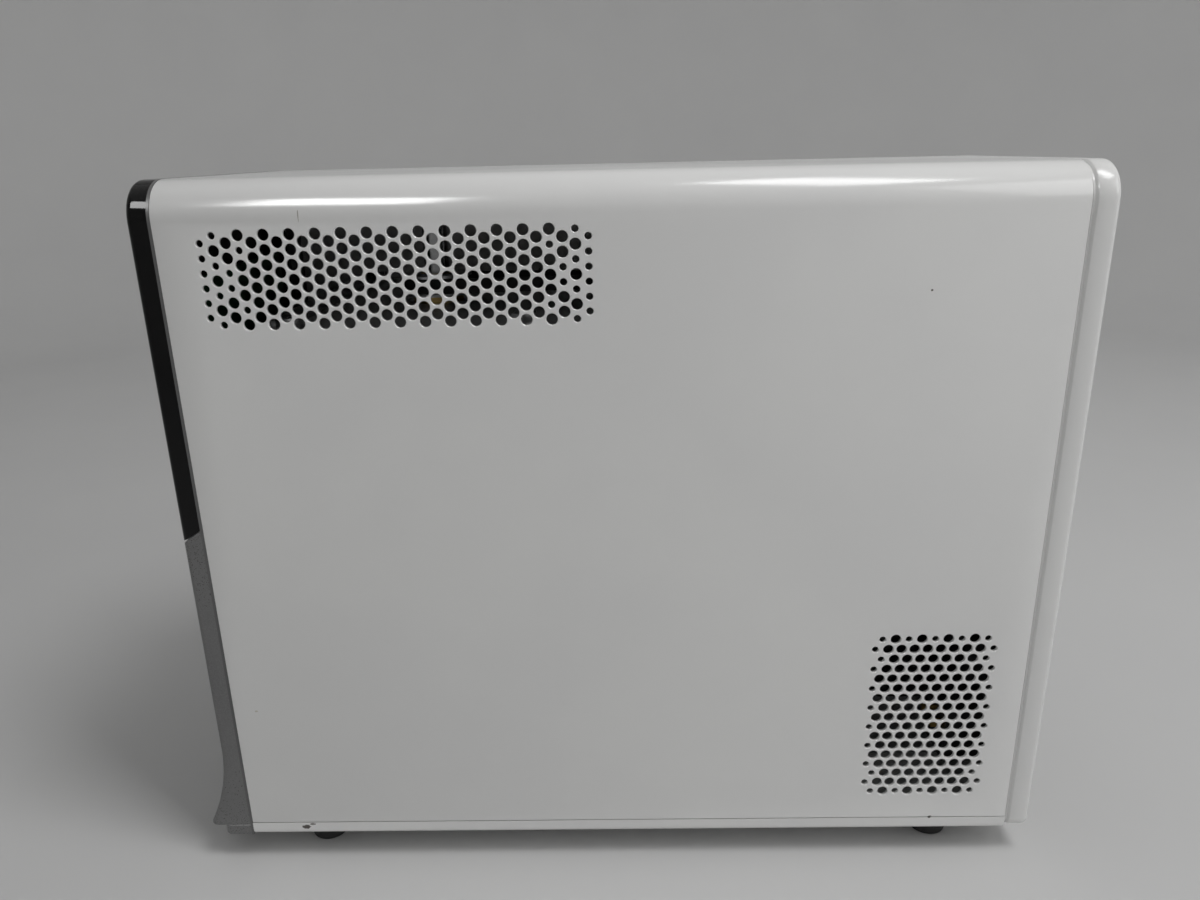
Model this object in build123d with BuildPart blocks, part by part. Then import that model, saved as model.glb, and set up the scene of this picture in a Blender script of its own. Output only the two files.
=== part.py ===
"""Plate heat sealer for laboratory microplates.

Frame: +Z up, the front faces -Y, origin under the middle of the object at the level of its feet.
All sizes in millimetres.
"""

from build123d import *
import os
from math import acos, asin, cos, degrees, pi, radians, sin, sqrt, tan

os.makedirs("parts", exist_ok=True)

# Housing
width = 178.0
height = 328.0
front_reach = 202.0
rear_reach = 202.0
foot_height = 14.0
edge_radius = 16.0
sheet = 1.5
seam = 0.6
cover_front = 21.0 - front_reach
cover_rear = rear_reach - 11.8
flange_height = 7.0
joggle_height = 12.0
running_gap = 0.3
slip = 0.02

# Punched vents in the shown side: six-sided holes on a close-packed lattice
hole_pitch = 6.0
big_hole = 4.8
small_hole = 3.0
upper_vent_y = cover_front + 96.2
upper_vent_z = height - 39.8
upper_vent_columns = 15
upper_vent_rows = 6
lower_vent_y = cover_rear - 42.9
lower_vent_z = 78.4
lower_vent_columns = 9
lower_vent_rows = 8

# Front strip: black fascia above, flared silver bezel below
strip_face = 10.8 - front_reach
frame_sheet = 1.2
strip_round = 3.0
strip_wall = 2.5
junction_front_z = 0.5275 * height
junction_rear_z = junction_front_z + 6.0
flare_top = 64.0
toe_top = 21.5
toe_thickness = 1.5
plinth_front = 6.4 - front_reach
plinth_bottom = 14.4
glass_width = width - 54.0
glass_height = 0.256 * height
glass_z = 0.753 * height
glass_sheet = 1.2
screen_width = glass_width - 16.0
screen_height = glass_height - 19.0
screen_depth = 4.5
board_sheet = 1.6

# Rear bezel and panel
bezel_wall = 4.5
groove_depth = 0.8
groove_width = 2.0
bezel_round = 3.0
bezel_foot_radius = 6.0

# Feet
foot_radius = 11.0
foot_x = width / 2 - 21.0
foot_front_y = cover_front + 31.0
foot_rear_y = cover_rear - 30.2
foot_stem = 3.0

# Plate and press station
plate_length = 127.76
plate_width = 85.48
plate_height = 14.35
plate_play = 0.42
station_y = cover_front + 96.0
column_radius = 5.0
column_x = width / 2 - 13.0
column_reach = 50.0
base_plate_z = 40.0
base_plate_sheet = 6.0
base_plate_front = cover_front + 5.0
base_plate_rear = cover_rear - 114.2
top_plate_z = height - 72.0
top_plate_sheet = 10.0
top_plate_rear = station_y + 121.0
plate_reach_x = width / 2 - 4.5
stud_radius = 3.0
nut_height = 5.0
nut_size = 10.0
standoff_radius = 6.0
bearing_play = 0.05

# Drawer
aperture_width = width - 28.0
aperture_bottom = 48.0
aperture_top = 122.0
aperture_corner = 4.0
drawer_gap = 0.5
drawer_front_sheet = 5.0
carriage_z = 59.0
carriage_sheet = 4.0
carriage_width = 120.0
carriage_rear = base_plate_rear - 6.0
rail_x = 45.0
rail_width = 12.0
rail_height = 8.0
rail_waist = 1.5
block_width = 24.0
block_length = 34.0
block_front_y = carriage_rear - 65.0
block_rear_y = carriage_rear - 18.0
nest_width = 139.0
nest_depth = 98.0
nest_wall = 4.5
nest_floor = 3.0
nest_top = 92.0
pocket_floor = 94.65
seal_frame_top = 108.0

# Rack and pinion of the drawer
gear_module = 1.5
pinion_teeth = 18
pressure_angle = 20.0
backlash = 0.2
tip_clearance = 0.25
rack_first = -2
rack_back = 8.0
pinion_x = 8.0
pinion_y = station_y - 17.0
pinion_face = 8.0

# Press head
platen_z = 140.0
platen_sheet = 6.0
heater_height = 16.0
cartridge_radius = 4.0
cartridge_pitch = 20.0
insulation_sheet = 6.0
spacer_radius = 6.0
spacer_height = 12.0
crosshead_sheet = 10.0
bush_radius = 7.5
bush_height = 24.0
screw_radius = 6.0
screw_top = height - 12.0
clamp_radius = 16.0
clamp_height = 8.0

# Lift drive
bearing_outer = 16.0
bearing_inner = 10.0
bearing_height = 7.0
nut_shoulder = 12.5
pulley_z = top_plate_z + top_plate_sheet + 3.0
pulley_height = 10.0
pulley_rim = 1.2
nut_pulley_radius = 15.0
motor_pulley_radius = 6.25
pulley_rim_reach = 2.0
nut_spigot = 8.0
belt_sheet = 1.4
lift_motor_y = station_y + 95.0
motor_size = 42.0
motor_corner = 4.0
lift_motor_height = 40.0
drawer_motor_height = 21.0
motor_boss = 11.0
boss_height = 2.0
shaft_radius = 2.5

# Rear equipment
fan_z = height - 85.0
fan_size = 80.0
fan_depth = 25.0
fan_bore = 38.0
fan_hub = 17.0
fan_blades = 7
fan_screw_reach = 35.75
inlet_x = width / 2 - 39.0
inlet_z = 50.0
inlet_width = 28.0
inlet_height = 30.0
socket_width = 24.4
socket_height = 16.4
socket_depth = 19.0
socket_rise = 5.0
pin_depth = 5.5
switch_z = 92.0
switch_width = 26.0
switch_height = 21.0
rocker_width = 19.4
rocker_tilt = 8.0
pivot_radius = 1.5
pivot_inset = 3.2
port_x = 39.0 - width / 2
port_z = 84.0
bracket_y = cover_rear - 110.2
bracket_top = height - 96.0

# Sizes worked out from the ones above
half_width = width / 2
cover_bottom = foot_height + flange_height + seam
inner_reach = half_width - sheet
strip_rear = cover_front - frame_sheet
tray_floor = foot_height + sheet
panel_inside = cover_rear - sheet
base_plate_top = base_plate_z + base_plate_sheet
carriage_top = carriage_z + carriage_sheet
strip_inside = strip_face + strip_wall
hex_share = 1.1
platen_length = plate_length
platen_width = plate_width
heater_z = platen_z + platen_sheet
insulation_z = heater_z + heater_height
spacer_z = insulation_z + insulation_sheet
crosshead_z = spacer_z + spacer_height
crosshead_top = crosshead_z + crosshead_sheet
pitch_radius = gear_module * pinion_teeth / 2
rack_pitch = pi * gear_module
rack_x = pinion_x + pitch_radius
rack_last = int((carriage_rear - pinion_y) / rack_pitch) - 1
column_places = [
    (x, station_y + y) for x in (-column_x, column_x) for y in (-column_reach, column_reach)
]


def level(z):
    """Plane that faces up at height z."""
    return Plane.XY.offset(z)


def facing_front(y):
    """Plane across the object at depth y, facing the front: its x is X and its y is Z."""
    return Plane.XZ.offset(-y)


def facing_side(x):
    """Plane along the object at x, facing the shown side: its x is Y and its y is Z."""
    return Plane.YZ.offset(x)


def save(piece, name):
    """Label a finished piece and write it under its name."""
    piece.part.label = name
    export_step(piece.part, f"parts/{name}.step")


def arch(reach, bottom, top, radius, foot_radius=0):
    """Outline across the object: a rectangle whose upper corners, and lower ones if asked, are round."""
    with BuildSketch() as outline:
        with Locations((0, (bottom + top) / 2)):
            Rectangle(2 * reach, top - bottom)
        fillet(outline.vertices().group_by(Axis.Y)[-1], radius)
        if foot_radius:
            fillet(outline.vertices().group_by(Axis.Y)[0], foot_radius)
    return outline.sketch


def lattice(columns, rows):
    """Steps of a close-packed lattice about its middle: (column, row) pairs whose sum is even."""
    return [
        (column, row)
        for column in range(-columns, columns + 1)
        for row in range(-rows, rows + 1)
        if (column + row) % 2 == 0
    ]


def upper_is_small(column, row):
    """Small holes soften the two ends of the upper vent."""
    column, row = abs(column), abs(row)
    end = upper_vent_columns
    return column == end or (column, row) in ((end - 1, 2), (end - 1, 6), (end - 2, 1), (end - 3, 4))


def lower_is_small(column, row):
    """Small holes soften the sides, top and bottom of the lower vent."""
    column, row = abs(column), abs(row)
    side, end = lower_vent_columns, lower_vent_rows
    return column == side or (column, row) in ((side - 1, end - 2), (side - 1, end), (0, end), (4, end))


# Cover: one sheet folded over the top, with the vents punched in the shown side
outer_arch = arch(half_width, cover_bottom, height, edge_radius)
inner_arch = arch(inner_reach, cover_bottom - sheet, height - sheet, edge_radius - sheet)
lattice_row = hole_pitch * sqrt(3) / 2
upper_steps = lattice(upper_vent_columns, upper_vent_rows)
lower_steps = lattice(lower_vent_columns, lower_vent_rows)
upper_holes = [
    (upper_vent_y + c * lattice_row, upper_vent_z - r * hole_pitch / 2, upper_is_small(c, r))
    for c, r in upper_steps
]
lower_holes = [
    (lower_vent_y + c * hole_pitch / 2, lower_vent_z - r * lattice_row, lower_is_small(c, r))
    for c, r in lower_steps
]
big_places = [(y, z) for y, z, small in upper_holes + lower_holes if not small]
small_places = [(y, z) for y, z, small in upper_holes + lower_holes if small]

with BuildPart() as cover:
    with BuildSketch(facing_front(cover_rear)):
        add(outer_arch)
        add(inner_arch, mode=Mode.SUBTRACT)
    extrude(amount=cover_rear - cover_front)
    with BuildSketch(facing_side(half_width)):
        with Locations(*big_places):
            RegularPolygon(hex_share * big_hole / 2, 6)
        with Locations(*small_places):
            RegularPolygon(hex_share * small_hole / 2, 6)
    extrude(amount=-sheet, mode=Mode.SUBTRACT)
save(cover, "cover")

# Base tray: floor, folded sides that show under the cover, and a joggle that lies behind it
foot_places = [(x, y) for x in (-foot_x, foot_x) for y in (foot_front_y, foot_rear_y)]
tray_fold = 3.0
end_flange = 14.0
with BuildPart() as base_tray:
    with BuildSketch(facing_front(cover_rear)) as tray_section:
        with Locations((0, foot_height + flange_height / 2)):
            Rectangle(width, flange_height)
        fillet(tray_section.vertices().group_by(Axis.Y)[0], tray_fold)
        with Locations((0, tray_floor + (flange_height - 2 * sheet) / 2)):
            Rectangle(width - 2 * sheet, flange_height - 2 * sheet, mode=Mode.SUBTRACT)
        with Locations((0, foot_height + flange_height)):
            Rectangle(2 * (inner_reach - sheet), 3 * sheet, mode=Mode.SUBTRACT)
        with Locations(
            (sheet / 2 - inner_reach, foot_height + flange_height - sheet),
            (inner_reach - sheet / 2, foot_height + flange_height - sheet),
        ):
            Rectangle(sheet, joggle_height + sheet, align=(Align.CENTER, Align.MIN))
    extrude(amount=cover_rear - cover_front)
    with BuildSketch(facing_front(panel_inside)):
        with Locations((0, tray_floor)):
            Rectangle(2 * (inner_reach - sheet), end_flange, align=(Align.CENTER, Align.MIN))
    extrude(amount=sheet)
    with BuildSketch(facing_front(cover_front + sheet)):
        with Locations((0, tray_floor)):
            Rectangle(2 * (inner_reach - sheet), end_flange, align=(Align.CENTER, Align.MIN))
    extrude(amount=sheet)
    with Locations(*[(x, y, foot_height) for x, y in foot_places]):
        Cylinder(
            foot_stem + slip, sheet, align=(Align.CENTER, Align.CENTER, Align.MIN), mode=Mode.SUBTRACT
        )
save(base_tray, "base_tray")

# Rubber feet: tapered pads with a stem pushed through the floor
foot_taper = 2.0
stem_reach = 3.0
with BuildPart() as rubber_feet:
    with Locations(*[(x, y, 0) for x, y in foot_places]):
        Cone(
            foot_radius - foot_taper,
            foot_radius,
            foot_height,
            align=(Align.CENTER, Align.CENTER, Align.MIN),
        )
    with Locations(*[(x, y, foot_height) for x, y in foot_places]):
        Cylinder(foot_stem, sheet + stem_reach, align=(Align.CENTER, Align.CENTER, Align.MIN))
save(rubber_feet, "rubber_feet")

# Rear bezel: a moulded ring whose front edge is set in as a shadow groove
bezel_outer = arch(half_width, foot_height, height, edge_radius, bezel_foot_radius)
bezel_neck = arch(
    half_width - groove_depth,
    foot_height + groove_depth,
    height - groove_depth,
    edge_radius - groove_depth,
    bezel_foot_radius - groove_depth,
)
bezel_opening = arch(
    half_width - bezel_wall, foot_height + bezel_wall, height - bezel_wall, edge_radius - bezel_wall
)
with BuildPart() as rear_bezel:
    with BuildSketch(facing_front(rear_reach)):
        add(bezel_outer)
    extrude(amount=rear_reach - cover_rear - groove_width)
    fillet(rear_bezel.faces().sort_by(Axis.Y)[-1].edges(), bezel_round)
    with BuildSketch(facing_front(cover_rear + groove_width)):
        add(bezel_neck)
    extrude(amount=groove_width)
    with BuildSketch(facing_front(rear_reach)):
        add(bezel_opening)
    extrude(amount=rear_reach - cover_rear, mode=Mode.SUBTRACT)
save(rear_bezel, "rear_bezel")

# Rear panel: a sheet inside the cover's end, with cut-outs for the fan, inlet, switch and ports
panel_outline = arch(
    inner_reach - slip, foot_height + flange_height, height - sheet - slip, edge_radius - sheet
)
panel_screw_x = half_width - 11.0
panel_screw_places = [
    (x, z) for x in (-panel_screw_x, panel_screw_x) for z in (40.0, height / 2 + 4.0, height - 28.0)
]
fan_screw_places = [
    (x, fan_z + z)
    for x in (-fan_screw_reach, fan_screw_reach)
    for z in (-fan_screw_reach, fan_screw_reach)
]
panel_screw_radius = 1.5
port_cut_width = 20.0
port_cut_height = 10.0
usb_size = 12.0
usb_drop = 20.0
with BuildPart() as rear_panel:
    with BuildSketch(facing_front(cover_rear)):
        add(panel_outline)
        with Locations((0, foot_height + flange_height)):
            Rectangle(2 * (inner_reach - sheet), 2 * sheet, mode=Mode.SUBTRACT)
        for corner in (-1, 1):
            with Locations((corner * inner_reach, foot_height + flange_height)):
                Rectangle(2 * (sheet + slip), 2 * joggle_height, mode=Mode.SUBTRACT)
        with Locations((0, fan_z)):
            Circle(fan_bore, mode=Mode.SUBTRACT)
        with Locations((inlet_x, inlet_z)):
            Rectangle(inlet_width + 2 * slip, inlet_height + 2 * slip, mode=Mode.SUBTRACT)
        with Locations((inlet_x, switch_z)):
            Rectangle(switch_width + 2 * slip, switch_height + 2 * slip, mode=Mode.SUBTRACT)
        with Locations((port_x, port_z)):
            Rectangle(port_cut_width + 2 * slip, port_cut_height + 2 * slip, mode=Mode.SUBTRACT)
        with Locations((port_x, port_z - usb_drop)):
            Rectangle(usb_size + 2 * slip, usb_size + 2 * slip, mode=Mode.SUBTRACT)
        with Locations(*panel_screw_places, *fan_screw_places):
            Circle(panel_screw_radius + slip, mode=Mode.SUBTRACT)
    extrude(amount=sheet)
save(rear_panel, "rear_panel")

# Front frame: the thin plate that carries the front strip; its edge shows as a grey line
frame_outline = arch(half_width, plinth_bottom, height, edge_radius)
frame_margin = 2.0
display_opening_width = glass_width + 8.0
display_opening_height = glass_height + 26.0
aperture_mid = (aperture_bottom + aperture_top) / 2
aperture_height = aperture_top - aperture_bottom
with BuildPart() as front_frame:
    with BuildSketch(facing_front(cover_front)):
        add(frame_outline)
        with Locations((0, aperture_mid)):
            Rectangle(
                aperture_width + 2 * frame_margin, aperture_height + 2 * frame_margin, mode=Mode.SUBTRACT
            )
        with Locations((0, glass_z)):
            Rectangle(display_opening_width, display_opening_height, mode=Mode.SUBTRACT)
    extrude(amount=frame_sheet)
save(front_frame, "front_frame")

# Front strip: one side profile with a flared toe below and a round edge all along its outline,
# cut in two
strip_arch = arch(half_width, plinth_bottom, height, edge_radius)
toe_tip = -front_reach
with BuildPart() as strip:
    with BuildSketch(facing_side(-half_width)):
        with BuildLine():
            Polyline((strip_rear, plinth_bottom), (strip_rear, height), (strip_face, height))
            Line((strip_face, height), (strip_face, flare_top))
            TangentArc((strip_face, flare_top), (toe_tip, toe_top), tangent=(0, -1))
            Polyline(
                (toe_tip, toe_top),
                (toe_tip, toe_top - toe_thickness),
                (plinth_front, toe_top - toe_thickness),
                (plinth_front, plinth_bottom),
                (strip_rear, plinth_bottom),
            )
        make_face()
    extrude(amount=width)
    with BuildSketch(facing_front(strip_rear)):
        add(strip_arch)
    extrude(amount=strip_rear - toe_tip, mode=Mode.INTERSECT)
    front_face = strip.faces().filter_by(Plane.XZ).filter_by(lambda face: abs(face.center().Y - strip_face) < slip)
    flare_face = strip.faces().filter_by(GeomType.CYLINDER).sort_by(Axis.Y)[0]
    outline = [edge for edge in front_face[0].edges() + flare_face.edges() if edge.length > 1]
    side_edges = [
        edge for edge in outline if abs(edge.center().X) > half_width - edge_radius or edge.center().Z > flare_top + slip
    ]
    fillet(side_edges, strip_round)

junction_slope = Vector(0, strip_rear - strip_face, junction_rear_z - junction_front_z)
junction_normal = Vector(1, 0, 0).cross(junction_slope)
junction = Plane((0, strip_face, junction_front_z), x_dir=(1, 0, 0), z_dir=junction_normal)

# Upper fascia: the gloss part, hollow behind, with a recess and window for the screen
with BuildPart() as upper_fascia:
    add(strip.part)
    split(bisect_by=junction, keep=Keep.TOP)
    with BuildSketch(facing_front(strip_rear)):
        with Locations((0, (junction_rear_z + height - edge_radius) / 2 + strip_wall)):
            Rectangle(width - 2 * strip_wall, height - edge_radius - junction_rear_z - 2 * strip_wall)
    extrude(amount=strip_rear - strip_inside, mode=Mode.SUBTRACT)
    with BuildSketch(facing_front(strip_face)):
        with Locations((0, glass_z)):
            Rectangle(glass_width + running_gap, glass_height + running_gap)
    extrude(amount=-glass_sheet, mode=Mode.SUBTRACT)
    with BuildSketch(facing_front(strip_face)):
        with Locations((0, glass_z)):
            Rectangle(screen_width, screen_height)
    extrude(amount=-strip_wall, mode=Mode.SUBTRACT)
save(upper_fascia, "upper_fascia")

# Lower bezel: the flared silver part with the drawer's aperture
with BuildPart() as lower_bezel:
    add(strip.part)
    split(bisect_by=junction.offset(-running_gap), keep=Keep.BOTTOM)
    with BuildSketch(facing_front(strip_rear)):
        with Locations((0, (aperture_bottom + junction_front_z) / 2)):
            Rectangle(
                width - 2 * strip_wall, junction_front_z - aperture_bottom - 2 * strip_wall
            )
    extrude(amount=strip_rear - strip_inside, mode=Mode.SUBTRACT)
    with BuildSketch(facing_front(strip_rear)):
        with Locations((0, aperture_mid)):
            RectangleRounded(aperture_width, aperture_height, aperture_corner)
    extrude(amount=strip_rear - toe_tip, mode=Mode.SUBTRACT)
save(lower_bezel, "lower_bezel")

# Touch screen: cover glass in the recess, display behind the window, its board behind that
with BuildPart() as touch_glass:
    with BuildSketch(facing_front(strip_face + glass_sheet)):
        with Locations((0, glass_z)):
            RectangleRounded(glass_width, glass_height, strip_wall)
    extrude(amount=glass_sheet)
save(touch_glass, "touch_glass")

module_margin = 6.0
with BuildPart() as display_module:
    with BuildSketch(facing_front(strip_inside + screen_depth)):
        with Locations((0, glass_z)):
            Rectangle(screen_width + module_margin, screen_height + module_margin)
    extrude(amount=screen_depth)
save(display_module, "display_module")

connector_depth = 5.0
with BuildPart() as display_board:
    with BuildSketch(facing_front(strip_inside + screen_depth + board_sheet)):
        with Locations((0, glass_z)):
            Rectangle(screen_width, screen_height + 2 * module_margin)
    extrude(amount=board_sheet)
    with BuildSketch(facing_front(strip_inside + screen_depth + board_sheet + connector_depth)):
        with Locations((-30.0, glass_z - 28.0)):
            Rectangle(30.0, 8.0)
        with Locations((28.0, glass_z + 6.0)):
            Rectangle(14.0, 14.0)
    extrude(amount=connector_depth)
save(display_board, "display_board")

# Press frame: base plate on standoffs, four columns, top plate
with BuildPart() as press_base_plate:
    with BuildSketch(level(base_plate_z)):
        with Locations((0, base_plate_front)):
            Rectangle(
                2 * plate_reach_x,
                base_plate_rear - base_plate_front,
                align=(Align.CENTER, Align.MIN),
            )
        with Locations(*column_places):
            Circle(stud_radius + slip, mode=Mode.SUBTRACT)
        with Locations((pinion_x, pinion_y)):
            Circle(motor_boss + slip, mode=Mode.SUBTRACT)
    extrude(amount=base_plate_sheet)
save(press_base_plate, "press_base_plate")

standoff_x = half_width - 19.0
standoff_places = [
    (x, y)
    for x in (-standoff_x, standoff_x)
    for y in (base_plate_front + 11.0, station_y + 25.0, base_plate_rear - 14.0)
]
with BuildPart() as base_standoffs:
    with Locations(*[(x, y, tray_floor) for x, y in standoff_places]):
        Cylinder(
            standoff_radius, base_plate_z - tray_floor, align=(Align.CENTER, Align.CENTER, Align.MIN)
        )
save(base_standoffs, "base_standoffs")

with BuildPart() as guide_columns:
    with BuildSketch(level(base_plate_top)):
        with Locations(*column_places):
            Circle(column_radius)
    extrude(amount=top_plate_z - base_plate_top)
    with BuildSketch(level(base_plate_z - nut_height)):
        with Locations(*column_places):
            Circle(stud_radius)
    extrude(amount=base_plate_sheet + nut_height)
    with BuildSketch(level(top_plate_z)):
        with Locations(*column_places):
            Circle(stud_radius)
    extrude(amount=top_plate_sheet + nut_height)
save(guide_columns, "guide_columns")

with BuildPart() as column_nuts:
    for nut_z in (base_plate_z - nut_height, top_plate_z + top_plate_sheet):
        with BuildSketch(level(nut_z)):
            with Locations(*column_places):
                RegularPolygon(nut_size / 2, 6, major_radius=False)
                Circle(stud_radius + slip, mode=Mode.SUBTRACT)
        extrude(amount=nut_height)
save(column_nuts, "column_nuts")

plate_edge = 12.0
top_plate_front = station_y - column_reach - plate_edge
with BuildPart() as press_top_plate:
    with BuildSketch(level(top_plate_z)):
        with Locations((0, top_plate_front)):
            Rectangle(
                2 * plate_reach_x, top_plate_rear - top_plate_front, align=(Align.CENTER, Align.MIN)
            )
        with Locations(*column_places):
            Circle(stud_radius + slip, mode=Mode.SUBTRACT)
        with Locations((0, lift_motor_y)):
            Circle(motor_boss + slip, mode=Mode.SUBTRACT)
        with Locations((0, station_y)):
            Circle(nut_shoulder, mode=Mode.SUBTRACT)
    extrude(amount=top_plate_sheet)
    with BuildSketch(level(top_plate_z + top_plate_sheet)):
        with Locations((0, station_y)):
            Circle(bearing_outer + slip)
    extrude(amount=-bearing_height, mode=Mode.SUBTRACT)
save(press_top_plate, "press_top_plate")

bearing_z = top_plate_z + top_plate_sheet - bearing_height
with BuildPart() as nut_bearing:
    with BuildSketch(level(bearing_z)):
        with Locations((0, station_y)):
            Circle(bearing_outer)
            Circle(bearing_inner, mode=Mode.SUBTRACT)
    extrude(amount=bearing_height)
save(nut_bearing, "nut_bearing")

# Heat shield between the press chamber and the screen, folded onto the top plate
shield_bottom = 126.0
shield_reach = half_width - 9.0
shield_fold = 12.0
with BuildPart() as heat_shield:
    with BuildSketch(facing_front(top_plate_front)):
        with Locations((0, shield_bottom)):
            Rectangle(
                2 * shield_reach,
                top_plate_z + top_plate_sheet + sheet - shield_bottom,
                align=(Align.CENTER, Align.MIN),
            )
        with Locations((0, (shield_bottom + top_plate_z) / 2 + 9.0)):
            with GridLocations(30.0, 0, 5, 1):
                SlotOverall(24.0, 5.0, rotation=90, mode=Mode.SUBTRACT)
    extrude(amount=sheet)
    with BuildSketch(level(top_plate_z + top_plate_sheet)):
        with Locations((0, top_plate_front)):
            Rectangle(2 * (column_x - nut_size), shield_fold, align=(Align.CENTER, Align.MIN))
    extrude(amount=sheet)
save(heat_shield, "heat_shield")

# Drawer rails and the blocks that run on them
rail_mid = base_plate_top + rail_height / 2
waist_half = 1.25
with BuildPart() as drawer_rails:
    with BuildSketch(facing_front(base_plate_rear)):
        with Locations((-rail_x, rail_mid), (rail_x, rail_mid)):
            Rectangle(rail_width, rail_height)
        with Locations(
            *[
                (side * rail_x + edge * rail_width / 2, rail_mid)
                for side in (-1, 1)
                for edge in (-1, 1)
            ]
        ):
            Rectangle(2 * rail_waist, 2 * waist_half, mode=Mode.SUBTRACT)
    extrude(amount=base_plate_rear - base_plate_front)
save(drawer_rails, "drawer_rails")

block_gap = 0.25
block_bottom = base_plate_top + 1.0
lip_reach = rail_width / 2 - rail_waist + block_gap
with BuildPart() as guide_blocks:
    for block_y in (block_front_y, block_rear_y):
        with BuildSketch(facing_front(block_y + block_length / 2)):
            with Locations(*[(side * rail_x, block_bottom) for side in (-1, 1)]):
                Rectangle(block_width, carriage_z - block_bottom, align=(Align.CENTER, Align.MIN))
                Rectangle(
                    rail_width + 2 * block_gap,
                    rail_height - 1.0 + block_gap,
                    align=(Align.CENTER, Align.MIN),
                    mode=Mode.SUBTRACT,
                )
            with Locations(
                *[
                    (side * rail_x + edge * (lip_reach + block_width / 2) / 2, rail_mid)
                    for side in (-1, 1)
                    for edge in (-1, 1)
                ]
            ):
                Rectangle(block_width / 2 - lip_reach, 2 * (waist_half - block_gap))
        extrude(amount=block_length)
save(guide_blocks, "guide_blocks")

# Drawer carriage: a plate with an upturned front that carries the drawer's front panel
drawer_back = strip_face + drawer_front_sheet
carriage_flange = 2.0
flange_top = 108.0
with BuildPart() as drawer_carriage:
    with BuildSketch(level(carriage_z)):
        with Locations((0, drawer_back)):
            Rectangle(carriage_width, carriage_rear - drawer_back, align=(Align.CENTER, Align.MIN))
    extrude(amount=carriage_sheet)
    with BuildSketch(facing_front(drawer_back + carriage_flange)):
        with Locations((0, carriage_z)):
            Rectangle(carriage_width, flange_top - carriage_z, align=(Align.CENTER, Align.MIN))
    extrude(amount=carriage_flange)
save(drawer_carriage, "drawer_carriage")

with BuildPart() as drawer_front:
    add(strip.part)
    with BuildSketch(facing_front(drawer_back)):
        with Locations((0, aperture_mid)):
            RectangleRounded(
                aperture_width - 2 * drawer_gap,
                aperture_height - 2 * drawer_gap,
                aperture_corner - drawer_gap,
            )
    extrude(amount=drawer_back - toe_tip, mode=Mode.INTERSECT)
save(drawer_front, "drawer_front")

# Plate nest: an open box on the carriage, the block that lifts the plate, and the frame that
# holds the film down around it
with BuildPart() as plate_nest:
    with BuildSketch(level(carriage_top)):
        with Locations((0, station_y)):
            RectangleRounded(nest_width, nest_depth, nest_wall)
    extrude(amount=nest_top - carriage_top)
    with BuildSketch(level(nest_top)):
        with Locations((0, station_y)):
            Rectangle(nest_width - 2 * nest_wall, nest_depth - 2 * nest_wall)
    extrude(amount=-(nest_top - carriage_top - nest_floor), mode=Mode.SUBTRACT)
save(plate_nest, "plate_nest")

adapter_wall = 4.0
adapter_floor = 5.0
pocket_length = plate_length + 2 * plate_play
pocket_width = plate_width + 2 * plate_play
with BuildPart() as plate_adapter:
    with BuildSketch(level(carriage_top + nest_floor)):
        with Locations((0, station_y)):
            Rectangle(
                nest_width - 2 * nest_wall - 2 * running_gap,
                nest_depth - 2 * nest_wall - 2 * running_gap,
            )
    extrude(amount=nest_top - carriage_top - nest_floor)
    with BuildSketch(level(nest_top)):
        with Locations((0, station_y)):
            Rectangle(pocket_length - running_gap, pocket_width - running_gap)
    extrude(amount=pocket_floor - nest_top)
    with BuildSketch(level(carriage_top + nest_floor)):
        with Locations((0, station_y)):
            with GridLocations(41.0, 41.0, 3, 2):
                Rectangle(41.0 - adapter_wall, 41.0 - adapter_wall)
    extrude(amount=pocket_floor - carriage_top - nest_floor - adapter_floor, mode=Mode.SUBTRACT)
save(plate_adapter, "plate_adapter")

with BuildPart() as seal_frame:
    with BuildSketch(level(nest_top)):
        with Locations((0, station_y)):
            RectangleRounded(nest_width, nest_depth, nest_wall)
            Rectangle(
                nest_width - 2 * nest_wall, nest_depth - 2 * nest_wall, mode=Mode.SUBTRACT
            )
    extrude(amount=pocket_floor - nest_top)
    with BuildSketch(level(pocket_floor)):
        with Locations((0, station_y)):
            RectangleRounded(nest_width, nest_depth, nest_wall)
            Rectangle(pocket_length, pocket_width, mode=Mode.SUBTRACT)
    extrude(amount=seal_frame_top - pocket_floor)
    lead_in = seal_frame.faces().sort_by(Axis.Z)[-1].inner_wires()[0].edges()
    chamfer(lead_in, 1.0)
save(seal_frame, "seal_frame")

# Rack under the carriage: trapezoid teeth, one space opposite the pinion's first tooth
flank_run = tan(radians(pressure_angle))
tooth_half = (rack_pitch - backlash) / 4
addendum = gear_module
dedendum = gear_module * (1 + tip_clearance)
with BuildPart() as drawer_rack:
    with BuildSketch(level(carriage_z)):
        for step in range(rack_first, rack_last + 1):
            middle = pinion_y + (step + 0.5) * rack_pitch
            with Locations((rack_x, middle)):
                Polygon(
                    (-addendum, tooth_half - addendum * flank_run),
                    (-addendum, addendum * flank_run - tooth_half),
                    (dedendum, -tooth_half - dedendum * flank_run),
                    (dedendum, tooth_half + dedendum * flank_run),
                    align=None,
                )
        with Locations((rack_x + dedendum, pinion_y + rack_first * rack_pitch)):
            Rectangle(
                rack_back - dedendum,
                (rack_last + 1 - rack_first) * rack_pitch,
                align=(Align.MIN, Align.MIN),
            )
    extrude(amount=-pinion_face)
save(drawer_rack, "drawer_rack")


def involute(angle):
    """Involute function of a pressure angle in radians."""
    return tan(angle) - angle


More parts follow.
